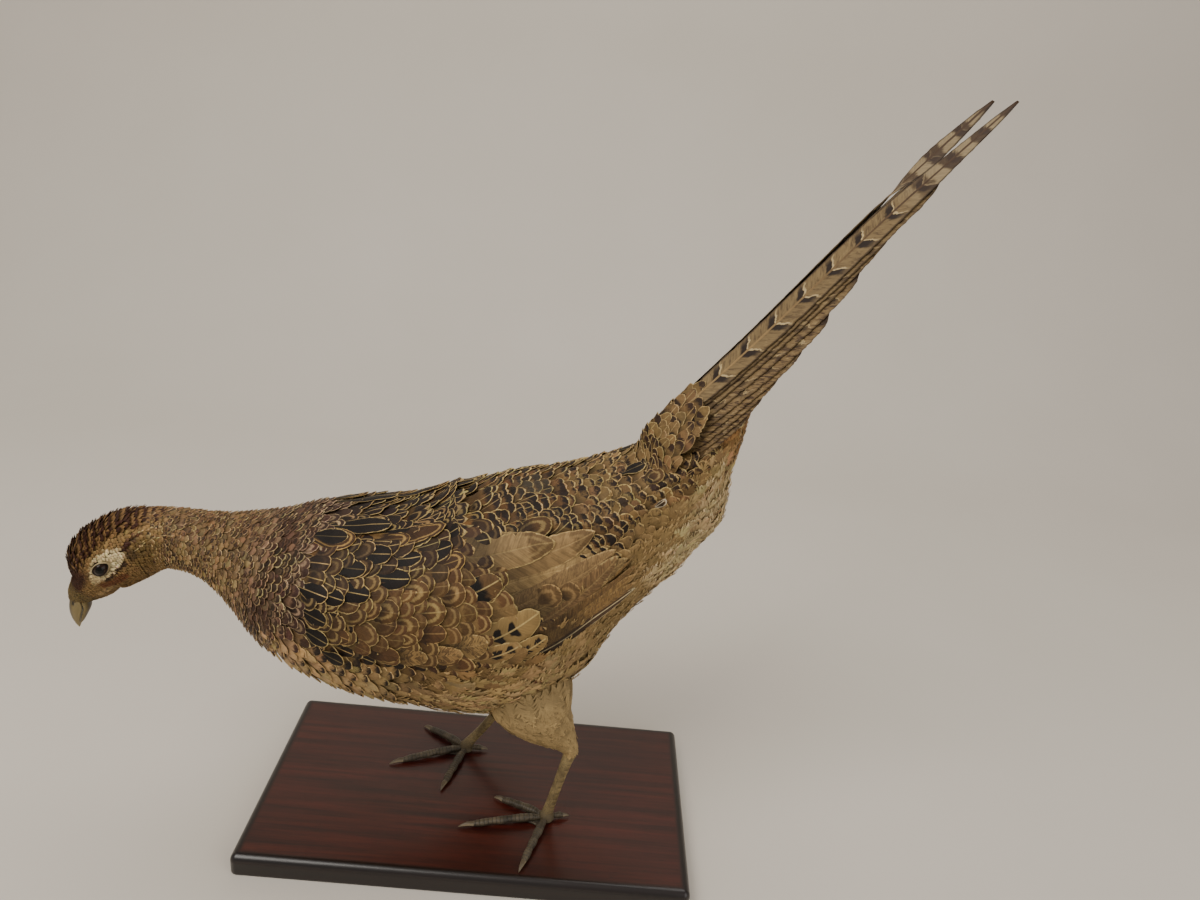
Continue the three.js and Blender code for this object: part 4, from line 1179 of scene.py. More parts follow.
# Single feathers that show in the photograph: place of the tip, length, width, pattern, pale shaft
SHOWN = [
    (8.34, -17, 26, 13, "black", 0.8), (9.50, -25, 31, 14, "gold_ring", 0.0), (9.31, -24, 25, 11.5, "black", 0.8), (7.78, -29, 25, 16, "gold_ring", 0.0),
    (7.61, -28, 20, 12, "black", 0.2), (8.44, -38, 21, 12.5, "black", 0.7), (9.64, -38, 25, 12.5, "black", 0.9), (9.07, -40, 20, 10, "black", 0.8),
    (8.11, -48, 19, 11, "black", 0.2), (8.87, -51, 24, 12, "black", 0.9), (7.61, -67, 17, 11, "black", 0.9), (7.90, -66, 16, 10, "black", 0.8),
    (8.25, -61, 20, 12, "black", 0.8), (7.73, -81, 16, 10.5, "black", 0.5), (7.85, -92, 15, 10, "black", 0.4), (8.13, -101, 13, 9, "black", 0.3),
    (8.12, -86, 15, 11, "warm", 0.8), (9.19, -58, 19, 14, "ring", 0.4), (9.42, -68, 26, 16, "ring", 0.5), (8.73, -68, 19, 14, "ring", 0.2),
    (9.05, -74, 19, 13, "ring", 0.2), (9.03, -81, 20, 10, "ring", 0.0), (9.78, -61, 18, 14, "ring", 0.3), (10.71, -55, 26, 16, "ring", 0.0),
    (10.45, -63, 24, 16, "half", 0.9), (11.06, -88, 19, 15, "plain_u", 0.0), (10.89, -83, 19, 15, "plain_u", 0.0), (10.57, -86, 46, 20, "pairs", 1.0),
    (10.47, -97, 32, 14, "blot", 0.9), (10.20, -93, 32, 13, "blot", 0.9), (9.90, -86, 30, 16, "bars", 0.3), (9.40, -78, 24, 13, "warm", 0.4),
    (9.57, -89, 30, 14, "bars", 0.2), (12.59, -90, 8, 4.4, "white_v", 0.9), (12.66, -26, 15, 9, "black", 0.3), (12.84, -50, 14, 10, "ring", 0.0),
    (9.15, -90, 26, 14, "bars", 0.0), (8.80, -90, 24, 13, "warm", 0.0), (11.3, -48, 22, 13, "ring", 0.0),
    (10.15, -30, 24, 12, "black", 0.8), (10.6, -40, 24, 12, "gold_ring", 0.3), (8.75, -28, 22, 12, "gold_ring", 0.3), (10.0, -46, 24, 13, "gold_ring", 0.4),
]


def shown_feathers(side):
    tag = "left" if side < 0 else "right"
    n = len(SHOWN)
    st = blank_style(n)
    t1 = np.array([r[0] for r in SHOWN])
    p1 = np.array([r[1] for r in SHOWN], float)
    L = np.array([r[2] for r in SHOWN], float)
    W = np.array([r[3] for r in SHOWN], float)
    z = np.zeros(n)
    root = t1.copy()
    for _ in range(4):
        mid = (root + t1) / 2
        g = np.linalg.norm(coat(mid + 0.05, p1 * DEG, z) - coat(mid - 0.05, p1 * DEG, z), axis=1) / 0.1 * 1000
        root = t1 - L / g
    for i, (_, _, _, _, kind, shaft) in enumerate(SHOWN):
        st["shaft"][i] = shaft
        st["fringe"][i] = 0.50
        st["dark"][i] = 34
        st["wild"][i] = 0.6
        if kind == "black":
            st["c0"][i], st["c1"][i], st["c2"][i] = lin(200, 172, 112), lin(26, 18, 14), GOLDEN
        elif kind == "gold_ring":
            st["c0"][i], st["c1"][i], st["c2"][i] = lin(190, 156, 92), lin(66, 44, 26), GOLDEN
            st["ring"][i] = 1.0
        elif kind == "warm":
            st["c0"][i], st["c1"][i], st["c2"][i] = lin(176, 144, 90), lin(84, 58, 34), lin(150, 118, 68)
        elif kind == "ring":
            st["c0"][i], st["c1"][i], st["c2"][i] = lin(180, 152, 98), lin(88, 62, 34), lin(120, 92, 52)
            st["ring"][i] = 1.0
        elif kind == "plain_u":
            st["c0"][i], st["c1"][i], st["c2"][i] = lin(158, 130, 84), lin(98, 74, 45), lin(142, 114, 72)
            st["ring"][i], st["wild"][i] = 0.8, 0.8
        elif kind == "half":
            st["c0"][i], st["c1"][i], st["c2"][i] = lin(196, 170, 112), lin(104, 76, 44), lin(24, 17, 13)
            st["dark"][i] = 10
        elif kind == "pairs":
            st["c0"][i], st["c1"][i], st["c2"][i] = lin(196, 166, 110), lin(24, 16, 12), lin(152, 124, 76)
            st["dark"][i], st["bar"][i], st["spot"][i], st["first"][i], st["phase"][i], st["wild"][i] = 0, 1.0, 4.7, 12.0, 0.48, 0.2
        elif kind == "blot":
            st["c0"][i], st["c1"][i], st["c2"][i] = lin(190, 162, 108), lin(26, 18, 13), lin(142, 114, 70)
            st["dark"][i], st["bar"][i], st["spot"][i], st["first"][i], st["phase"][i], st["wild"][i] = 0, 1.0, 3.0, 1.5, 0.87, 1.0
        elif kind == "bars":
            st["c0"][i], st["c1"][i], st["c2"][i] = lin(178, 150, 98), lin(64, 45, 29), lin(142, 113, 70)
            st["dark"][i], st["bar"][i], st["spot"][i], st["wild"][i] = 0, 0.7, 12.0, 1.5
        else:
            st["c0"][i], st["c1"][i], st["c2"][i] = lin(216, 202, 172), lin(150, 120, 80), lin(70, 50, 32)
            st["dark"][i], st["wild"][i] = 1.0, 1.2
    for k in ("c0", "c2"):
        st[k] = vary(st[k], 0.06)
    big = W >= 12.5
    big &= ~np.isin(np.array([r[4] for r in SHOWN]), ["black", "gold_ring"])
    spotted = np.isin(np.array([r[4] for r in SHOWN]), ["pairs", "blot"])
    for name, m, mat in (("a", ~big & ~spotted, plumage_body), ("b", big & ~spotted, quill_plumage), ("c", spotted, spot_plumage)):
        order = np.linspace(0, 0.5, n)[::-1]
        vanes(f"plume_single_{name}_{tag}", coat, flat_map, root[m], side * np.abs(p1[m]) * DEG, np.zeros(m.sum()), L[m], W[m], np.full(m.sum(), -1.6), 0.75 + order[m],
              take(st, m), nr=14, cols=(1, 0.85, 0.6, 0.3), kind="round", camber=0.055, frill=0.10, split=0.08, twist=0.03, material=mat,
              t1=t1[m], p1=side * np.abs(p1[m]) * DEG, bow=0.0)


quill_plumage = plumage_material("plumage_quills", 1.5, 0.7, 1.3)
spot_plumage = plumage_material("plumage_spots", 2.0, 0.7, 0.9)

# ---------------------------------------------------------------- the rest of the model follows

# ---------------------------------------------------------------- tail
TAIL_ROOT = np.array([85.0, 0.0, 255.0])
PITCH, ROOF = 52 * DEG, 33 * DEG
TAIL_START, FEATHER_PITCH = -13.6, 1.25
T_ALONG = np.array([math.cos(PITCH), 0, math.sin(PITCH)])
T_UP = np.array([-math.sin(PITCH), 0, math.cos(PITCH)])
TAIL = [[231, 7.2, 11.4, 7.8], [183, 7.8, 12.6, 8.0], [150.5, 10.2, 13.8, 7.8], [124, 12.7, 18.2, 7.6], [99, 15.7, 22.4, 7.6],
        [79, 18.7, 23.8, 7.4], [61, 21.4, 24.6, 7.2], [48, 23.8, 25.8, 7.0], [35.5, 26.2, 27.2, 6.8]]
TAIL_FAR_TIP = (228, 6.4)


def tail_mm(side, a, w, k, pivot=0.0, twist=0.0):
    """a along the tail, w down one slope from the ridge, k below the top layer; twist turns a vane about its shaft at w = pivot"""
    c = np.clip((a - 40) / 130, 0, 1)
    ridge = 21.2 - 0.0535 * (a - TAIL_START) + 4.2 * c * c * (3 - 2 * c)
    d = w - pivot
    w, k = pivot + d * np.cos(twist), k + d * np.sin(twist)
    up = ridge - w * math.sin(ROOF) - k * math.cos(ROOF)
    across = side * (w * math.cos(ROOF) - k * math.sin(ROOF))
    p = TAIL_ROOT + a[..., None] * T_ALONG + up[..., None] * T_UP
    p[..., 1] += across
    return p


def tail_material():
    n = Nodes("tail_vane")
    a, w, half = n.split(n.attr("tm").outputs["Vector"])      # along from the root, across from the shaft, half-width there
    tip, pair, seed = n.split(n.attr("tn").outputs["Vector"])  # distance to the tip, 0 middle pair .. 1 outer, random
    aw = n.abs(w)
    barb = n.sub(a, n.mul(aw, 0.85))
    torn = n.sub(n.noise(n.vec(n.mul(barb, 1.1), n.mul(w, 0.10), n.mul(seed, 50)), 1.0, 3.0, 0.7), 0.5)
    wv = n.noise(n.vec(n.mul(a, 0.16), n.mul(w, 0.35), n.mul(seed, 40)), 1.0, 2.0)
    wob = n.mul(n.sub(wv, 0.5), n.math("MULTIPLY_ADD", pair, 12.0, 4.5))
    ph = n.math("FRACT", n.math("MULTIPLY_ADD", n.math("MULTIPLY_ADD", torn, 1.6, n.add(barb, wob)), 1 / 19.5, n.mul(seed, 0.6)))
    pos = n.mul(ph, 19.5)
    near_edge = n.step(n.math("MULTIPLY_ADD", torn, 2.0, aw), n.mul(half, 1.0), n.mul(half, 0.45))
    dark = n.mul(n.step(pos, 12.6, 14.6), n.step(pos, 18.2, 17.7))
    dark = n.mul(dark, n.math("MULTIPLY_ADD", near_edge, 0.8, 0.2))
    cream = n.mul(n.step(pos, 17.9, 18.25), n.step(pos, 19.3, 18.9))
    cream = n.mul(cream, n.math("MULTIPLY_ADD", near_edge, 0.75, 0.15))
    verm = n.noise(n.vec(n.mul(barb, 0.62), n.mul(w, 0.20), n.mul(seed, 70)), 1.0, 3.0, 0.62, 0.8)
    verm_m = n.mul(n.step(verm, 0.50, 0.62), n.math("MULTIPLY_ADD", pair, 0.65, 0.62))
    pale_v = n.mul(n.step(verm, 0.42, 0.34), n.math("MULTIPLY_ADD", pair, 0.6, 0.2))
    big = n.noise(n.vec(n.mul(a, 0.06), n.mul(w, 0.15), seed), 1.0, 2.0)
    base = n.mix(big, lin(112, 92, 60), lin(136, 114, 77))
    base = n.mix(n.mul(pair, 0.4), base, lin(126, 98, 62))
    base = n.mix(verm_m, base, lin(70, 52, 35))
    base = n.mix(pale_v, base, lin(166, 142, 100))
    col = n.mix(n.mul(dark, n.math("MULTIPLY_ADD", pair, -0.45, 1.0)), base, lin(38, 26, 18))
    col = n.mix(n.mul(cream, n.math("MULTIPLY_ADD", pair, -0.35, 0.95)), col, lin(196, 173, 127))
    # the long points are barred dark and whitish
    tips = n.mul(n.step(tip, 78, 46), n.step(pair, 0.2, 0.05))
    tb = n.step(n.math("SINE", n.mul(n.add(n.math("MULTIPLY_ADD", torn, 4.0, a), wob), 0.36)), -0.4, 0.4)
    tcol = n.mix(tb, lin(62, 46, 35), lin(148, 130, 98))
    col = n.mix(n.mul(tips, 0.85), col, tcol)
    last = n.step(tip, 12, 3)
    col = n.mix(n.mul(last, 0.85), col, lin(52, 38, 29))
    rim = n.step(n.math("MULTIPLY_ADD", torn, 0.8, n.sub(half, aw)), 1.3, 0.5)
    col = n.mix(n.mul(rim, n.math("MULTIPLY_ADD", pair, -0.5, 0.8)), col, lin(50, 36, 24))
    quill = n.step(aw, 0.75, 0.35)
    col = n.mix(quill, col, n.mix(n.step(a, 60, 190), lin(150, 122, 80), lin(72, 52, 36)))
    barbs = n.noise(n.vec(n.mul(barb, 1.7), n.mul(w, 0.14), seed), 1.0, 4.0, 0.72)
    col = n.scale_rgb(col, n.math("MULTIPLY_ADD", n.sub(barbs, 0.5), 1.0, 1.0))
    n.bump(barbs, 0.6, 0.0005)
    return n.done(col, 0.6, 0.28)


def tail_feathers():
    mat = tail_material()
    q = np.linspace(0, 1, 84)
    cols = np.array([-1, -0.9, -0.72, -0.48, -0.24, -0.09, 0, 0.09, 0.24, 0.48, 0.72, 0.9, 1.0])
    steps = [0, 0.05, 0.11, 0.2, 0.42, 0.64, 0.8, 0.9, 0.96, 1]
    fine = np.linspace(0, 1, 201)
    for side in (-1, 1):
        tag = "left" if side < 0 else "right"
        for pair, (tip, root_w, tip_w, half) in enumerate(TAIL):
            broad = [0.16, 0.45, 0.82, 0.95, 1, 0.92, 0.72, 0.5, 0.32, 0.10] if pair == 0 else [0.16, 0.42, 0.76, 0.9, 1, 1.0, 0.97, 0.86, 0.64, 0.12]
            prof = np.interp(fine, steps, broad)
            for _ in range(6):
                prof[1:-1] = (prof[:-2] + prof[1:-1] + prof[2:]) / 3
            if side > 0 and pair == 0:
                tip, tip_w = TAIL_FAR_TIP
            k = pair * FEATHER_PITCH
            seed = RNG.random()
            V = cols[None, :]
            Q = q[:, None] + 0.055 * np.abs(V) * np.clip(1 - q[:, None], 0, 1) * smooth(q, 0.0, 0.1)[:, None] * (0.6 if pair == 0 else 1.0)
            Q = np.clip(Q, 0, 1)
            start = TAIL_START + 9.0
            a = start + (tip - start) * Q
            hw = half * np.interp(Q, fine, prof)
            centre = root_w + (tip_w - root_w) * Q
            slope_min = (k * math.sin(ROOF) + 0.35) / math.cos(ROOF)
            rag = 1 - 0.06 * RNG.random((len(q), 2)) - (RNG.random((len(q), 2)) < 0.06) * 0.25 * RNG.random((len(q), 2))
            late = smooth(q, 0.72, 1.0)
            rag -= 0.22 * late[:, None] * RNG.random((len(q), 2))
            off = V * hw
            off[:, 0] *= rag[:, 0]
            off[:, -1] *= rag[:, 1]
            w = np.maximum(centre + off, slope_min + 0.02 * (cols[None, :] + 1))
            shaft = np.exp(-(off / 0.55) ** 2) * (0.75 * (1 - Q) + 0.18) * smooth(Q, 0.02, 0.14)
            camber = 0.9 * (1 - V ** 2) * np.sin(PI * np.clip(Q, 0, 1)) ** 0.4
            thick = 0.18 + 0.34 * (1 - np.abs(V) ** 2) * (1 - 0.6 * Q)
            ripple = RNG.normal(0, 0.05, off.shape)
            side_up = k - camber * 0.5 - shaft
            turn = np.zeros_like(a)
            if pair == 0:
                turn = (-1.25 if side > 0 else -0.10) * smooth(a, 150, 200)
            top = tail_mm(side, a, w, side_up + ripple, centre, turn)
            bot = tail_mm(side, a, w, side_up + shaft * 1.2 + thick + ripple, centre, turn)
            nq, nc = off.shape
            verts = np.concatenate([top.reshape(-1, 3), bot.reshape(-1, 3)])
            f = grid_faces(nq, nc)
            g = f[:, ::-1] + nq * nc
            idx = np.arange(nq * nc).reshape(nq, nc)
            loop = np.concatenate([idx[:, 0], idx[-1, 1:], idx[-2::-1, -1], idx[0, -2:0:-1]])
            nxt = np.roll(loop, -1)
            rim = np.stack([loop, nxt, nxt + nq * nc, loop + nq * nc], 1)
            faces = np.vstack([f, g, rim])
            if side > 0:
                faces = faces[:, ::-1]
            me = mesh_from(f"tail_{tag}_{pair + 1}_vane", world(verts), faces)
            both = lambda x: np.concatenate([x.reshape(-1), x.reshape(-1)])
            full = lambda x: np.full(2 * nq * nc, float(x))
            set_attr(me, "tm", "FLOAT_VECTOR", np.stack([both(a - TAIL_START), both(w - centre), both(np.maximum(hw, 0.3))], 1))
            set_attr(me, "tn", "FLOAT_VECTOR", np.stack([both(tip - a), full(min(1, pair / 5)), full(seed)], 1))
            # the map: upper face and lower face as two strips side by side, this feather's own band
            U = np.broadcast_to(Q, off.shape)
            Vn = np.broadcast_to((V + 1) / 2, off.shape)
            uv = np.concatenate([np.stack([0.02 + 0.96 * U.ravel(), 0.02 + 0.46 * Vn.ravel()], 1),
                                 np.stack([0.02 + 0.96 * U.ravel(), 0.52 + 0.46 * Vn.ravel()], 1)])
            set_uv(me, uv)
            ob = link_object(me.name, me, mat)
            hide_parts(f"tail_{tag}_{pair + 1}")


# Feathers over the tail's root: the same roof, continued forward over the rump
def roof_surf(side):
    def surf(a, w, h):
        roof = tail_mm(side, a, np.abs(w), -h - 1.0)
        roof[..., 1] *= np.where(w < 0, -1.0, 1.0)      # a vane may lie across the ridge
        t = 12.95 + (a + 16) / 33.0
        rump = body_mm(t, side * np.clip(w / 17.0, 0, 2.2), h)
        f = smooth(a, -36, -8)[..., None]
        return world(roof * f + rump * (1 - f))
    return surf


def tail_coverts():
    for side in (-1, 1):
        tag = "left" if side < 0 else "right"
        surf = roof_surf(side)
        a, w, row, col = rows_on(surf, -40, 24, lambda a: 4.6, lambda a: 5.0, 0.3, 27.0, p_ref=12.0)
        keep = a < 8 - 0.35 * w + RNG.normal(0, 3.5, len(a))
        a, w, row, col = a[keep], w[keep], row[keep], col[keep]
        n = len(a)
        st = blank_style(n)
        pick = RNG.random(n)
        st["c0"] = vary(blend_to(np.tile(lin(186, 158, 106), (n, 1)), lin(164, 134, 88), smooth(w, 14, 26)), 0.1)
        st["c1"] = vary(np.tile(lin(54, 36, 24), (n, 1)), 0.15)
        st["c2"] = vary(blend_to(np.tile(lin(122, 96, 58), (n, 1)), lin(120, 90, 56), smooth(w, 16, 28) * (RNG.random(n) < 0.5)), 0.08)
        st["fringe"] = np.full(n, 0.7)
        st["dark"] = np.where(pick < 0.45, 4.4, np.where(pick < 0.6, 1.5, 0.0))
        st["ring"] = (pick > 0.5) * 0.5
        st["bar"] = (pick >= 0.6) * 0.95
        st["spot"] = np.where(pick >= 0.6, 2.6, 99.0)
        st["first"] = np.full(n, 3.0)
        st["shaft"] = (RNG.random(n) < 0.3) * 0.7
        st["wild"] = np.full(n, 0.7)
        frac = smooth(a, -16, 16)
        early = smooth(-a, 8, 22)
        edge = smooth(w, 15, 26)
        L = 15 + 8 * frac
        st["fringe"] = np.full(n, 0.42)
        vanes(f"plume_tail_coverts_{tag}", surf, lambda a, w: flat_map(13.0 + (a + 16) / 60, side * (0.2 + w * 0.05)), a, w,
              RNG.normal(0, 0.07, n), L, np.full(n, 9.0), -2.2 - 2.0 * early, 1.0 - 0.6 * frac - 0.6 * early - 1.3 * edge + RNG.normal(0, 0.08, n), st,
              nr=10, cols=(1, 0.66, 0.33), kind="round", least=0.5, camber=0.05, frill=0.2, split=0.2, material=plumage_body)


# ---------------------------------------------------------------- vent, under-tail coverts and thighs
def vent_feathers():
    n = 1350
    t = RNG.uniform(11.2, 14.2, n)
    a = 180 - np.abs(RNG.normal(0, 38, n))
    phi = np.where(RNG.random(n) < 0.5, 1, -1) * a * DEG
    keep = a > np.interp(t, [12.3, 13.0], [118, 96])
    t, phi, a = t[keep], phi[keep], a[keep]
    n = len(t)
    p = root_mm(t, phi)
    st = blank_style(n)
    late = smooth(t, 12.9, 13.6)
    rufous = late * (RNG.random(n) < 0.75)
    c = np.tile(lin(192, 168, 122), (n, 1))
    c = blend_to(c, lin(122, 90, 58), rufous * 0.85)
    st["c2"] = vary(c, 0.12)
    st["c0"] = vary(blend_to(np.tile(lin(212, 190, 146), (n, 1)), lin(160, 128, 86), rufous * 0.8), 0.10)
    st["c1"] = st["c2"] * 0.6
    st["fringe"] = np.full(n, 0.5)
    st["dark"] = np.where(RNG.random(n) < 0.12 + 0.3 * late, 3.0, 0.0)
    st["shaft"] = late * 0.8 * (RNG.random(n) < 0.5)
    st["wild"] = np.full(n, 1.0)
    L = RNG.uniform(17, 27, n) * (1 - 0.18 * late)
    W = RNG.uniform(9, 14, n) * (1 - 0.3 * late)
    ledge = np.exp(-((t - 12.35) / 0.35) ** 2) * smooth(a, 112, 135)      # the fluffy shelf behind the legs
    low = np.full(n, -3.2)
    high = RNG.normal(0.2, 0.35, n) + 3.6 * ledge - 2.6 * smooth(t, 12.75, 13.1) * smooth(-t, -13.9, -13.5) - 0.9 * smooth(t, 13.5, 13.9)
    vanes("plume_vent", coat, flat_map, t, phi, RNG.normal(0, 0.16, n), L, W, low, high, st, kind="lance", camber=0.06,
          twist=0.05, curl=0.02, loose=(16, 0.028, 0.26), ruffle=0.16, material=plumage_soft)


LEGS = {
    "left": dict(side=1, thigh=[[4, 122, 19, 25], [9, 106, 18.5, 25], [16, 93, 15, 19.5], [24, 82.5, 10, 13], [30.5, 74.5, 6.2, 8], [34.5, 68.2, 4.4, 5], [35.2, 65.2, 3.9, 4.4]],
                 shank=[[35.0, 64.8, 3.6, 4.2], [33.6, 60, 3.0, 3.6], [30.4, 46, 2.6, 3.1], [27.2, 31, 2.7, 3.1], [25.2, 21.5, 3.1, 3.4], [24.5, 17.6, 4.1, 4.4], [24.5, 15.0, 4.2, 4.5], [24.5, 13.5, 3.1, 3.3]],
                 toes=dict(middle=[-28.4, -35.0], inner=[-6.7, -12.4], outer=[6.2, -69.4], hind=[37.8, -29.0])),
    "right": dict(side=-1, thigh=[[-26, 122, 19, 24], [-20, 106, 18, 23], [-12, 92, 14, 17], [-4, 81, 9, 11.5], [1.5, 73.5, 6, 7.4], [4.6, 67.6, 4.4, 5], [5.2, 64.8, 3.9, 4.4]],
                  shank=[[5.0, 64.4, 3.6, 4.2], [2.6, 59.6, 3.0, 3.6], [-4.6, 47, 2.6, 3.1], [-13.8, 32.6, 2.6, 3.0], [-20.6, 23.4, 2.9, 3.2], [-24.3, 17.8, 3.9, 4.1], [-24.5, 15.0, 4.2, 4.5], [-24.5, 13.5, 3.1, 3.3]],
                  toes=dict(middle=[-73.2, 18.1], inner=[-39.8, -5.8], outer=[-52.9, 53.6], hind=[-11.0, 30.0])),
}
FOOT = (24.5, -30.7)


def leg_axis(rows, y):
    rows = np.asarray(rows, float)

    def at(s):
        r = curve(rows, s)
        p = np.stack([r[..., 0], np.full(r.shape[:-1], y), r[..., 1]], -1)
        e = 0.02
        r2 = curve(rows, np.clip(s + e, 0, len(rows) - 1)) - curve(rows, np.clip(s - e, 0, len(rows) - 1))
        d = np.stack([r2[..., 0], np.zeros(r.shape[:-1]), r2[..., 1]], -1)
        d /= np.linalg.norm(d, axis=-1, keepdims=True)
        across = np.broadcast_to(np.array([0.0, 1.0, 0.0]), d.shape)
        fore = np.cross(across, d)
        return p, d, across, fore, r[..., 2], r[..., 3]
    return at


def thigh_surf(name):
    leg = LEGS[name]
    at = leg_axis(leg["thigh"], FOOT[1] * leg["side"])

    def surf(s, th, h):
        c = np.clip(s, 0, 6)
        p, d, ac, fo, wide, deep = at(c)
        past = (s - c)[..., None] * 4.0
        return world(p + d * past + ac * ((wide + h) * np.cos(th))[..., None] + fo * ((deep + h) * np.sin(th))[..., None])
    return surf


def thigh_feathers():
    for name in LEGS:
        surf = thigh_surf(name)
        s, th, row, col = rows_on(surf, 0.15, 5.6, lambda s: np.interp(s, [0, 3, 6], [4.6, 3.0, 1.7]), lambda s: np.interp(s, [0, 3, 6], [5.4, 3.6, 2.0]), p_ref=0.0)
        n = len(s)
        st = blank_style(n)
        base = np.tile(lin(174, 148, 102), (n, 1)) * (1 + RNG.normal(0, 0.09, (n, 1)))
        st["c2"] = base
        st["c0"] = base * 1.12
        st["c1"] = base * 0.72
        st["fringe"] = np.full(n, 0.5)
        st["dark"] = np.where(RNG.random(n) < 0.2, 1.6, 0.0)
        st["wild"] = np.full(n, 1.0)
        thin = smooth(s, 3.5, 6)
        L = np.clip(row, 1.4, 5) * (3.6 - 1.3 * thin)
        z = np.zeros(n)
        grow = np.linalg.norm(surf(s + 0.05, th, z) - surf(s - 0.05, th, z), axis=1) / 0.1 * 1000
        L = np.minimum(L, np.maximum((6.0 - s) * grow, 2.2))
        W = col * 1.7
        lat = lambda s, th, k=LEGS[name]["side"]: (0.1 + 0.12 * s, 0.5 + 0.12 * k + 0.1 * np.sin(th))
        vanes(f"plume_thigh_{name}", surf, lat, s, th, RNG.normal(0, 0.12, n), L, W, np.full(n, -1.9) + 1.1 * thin,
              np.full(n, -0.5) + 0.35 * thin + RNG.normal(0, 0.10, n), st, nr=6, cols=(1, 0.6), kind="lance", camber=0.07, frill=0.5, split=0.4, material=plumage_soft)
        m = s < 4.6
        k = m.sum()
        vanes(f"plume_thigh_loose_{name}", surf, lat, s[m] + RNG.normal(0, 0.06, k), th[m] + RNG.normal(0, 0.1, k), RNG.normal(0, 0.12, k), L[m] * 1.15, W[m] * 1.1,
              np.full(k, -1.2) + 0.8 * thin[m], np.full(k, 0.1) - 0.1 * thin[m] + RNG.normal(0, 0.12, k), take(st, m), kind="lance", camber=0.04, curl=0.0,
              loose=(12, 0.038, 0.30), ruffle=0.12, material=plumage_soft)


# ---------------------------------------------------------------- skin
def skin_material():
    n = Nodes("skin_down")
    base = n.attr("base").outputs["Color"]
    geo = n.new("ShaderNodeTexCoord").outputs["Object"]
    mott = n.noise(geo, 260, 3, 0.6)
    fine = n.noise(geo, 1400, 2, 0.6)
    col = n.scale_rgb(base, n.math("MULTIPLY_ADD", n.sub(mott, 0.5), 0.9, 0.72))
    n.bump(fine, 0.5, 0.0006)
    return n.done(col, 0.8, 0.2)


def make_skin():
    t = np.concatenate([np.linspace(0.0, 3.6, 64), np.linspace(3.6, 14.6, 130)[1:]])
    ph = np.linspace(-PI, PI, 97)[:-1]
    T, P = np.meshgrid(t, ph, indexing="ij")
    depth = coat_depth(T, P) * 1.02
    rings = body_mm(T, P, stand_out(T, P) * 0.6 - depth)
    parts = [tube(rings)]
    src = [(rings.reshape(-1, 3), T.ravel(), P.ravel())]
    for name, leg in LEGS.items():
        at = leg_axis(leg["thigh"], FOOT[1] * leg["side"])
        s = np.linspace(0, 6, 40)
        th = np.linspace(0, 2 * PI, 33)[:-1]
        S, TH = np.meshgrid(s, th, indexing="ij")
        p, d, ac, fo, wide, deep = at(S)
        cut = np.interp(S, [0, 4, 5, 6], [2.6, 2.2, 1.4, 0.3])
        r = p + ac * ((wide - cut) * np.cos(TH))[..., None] + fo * ((deep - cut) * np.sin(TH))[..., None]
        v, f = tube(r)
        parts.append((v, f[:, ::-1] if False else f))
    v, f = join(parts)
    me = mesh_from("skin", world(v), f)
    ob = bpy.data.objects.new("skin", me)
    bpy.context.scene.collection.objects.link(ob)
    import bmesh
    bm = bmesh.new()
    bm.from_mesh(me)
    bmesh.ops.recalc_face_normals(bm, faces=bm.faces)
    bm.to_mesh(me)
    bm.free()
    mod = ob.modifiers.new("remesh", "REMESH")
    mod.mode = "VOXEL"
    mod.voxel_size = 0.0013
    dg = bpy.context.evaluated_depsgraph_get()
    new = bpy.data.meshes.new_from_object(ob.evaluated_get(dg))
    ob.modifiers.clear()
    ob.data = new
    new.name = "skin"
    co = np.empty(len(new.vertices) * 3)
    new.vertices.foreach_get("co", co)
    co = co.reshape(-1, 3)
    from mathutils import kdtree
    ref = world(src[0][0])
    tree = kdtree.KDTree(len(ref))
    for i, q in enumerate(ref):
        tree.insert(q, i)
    tree.balance()
    near = np.array([tree.find(c)[1] for c in co])
    base = base_colour(src[0][0][near], src[0][1][near], src[0][2][near])
    low = smooth(-co[:, 2] * 1000, -118, -104)
    base = blend_to(base, lin(186, 160, 112), low)
    set_attr(new, "base", "FLOAT_COLOR", np.concatenate([base, np.ones((len(co), 1))], 1))
    new.materials.clear()
    new.materials.append(skin_material())
    new.polygons.foreach_set("use_smooth", np.ones(len(new.polygons), bool))
    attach(ob, "root")
    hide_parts("head", "neck", "trunk", "wing_left", "wing_right", "thigh_left", "thigh_right")
    PIECES.append(ob)
    return ob


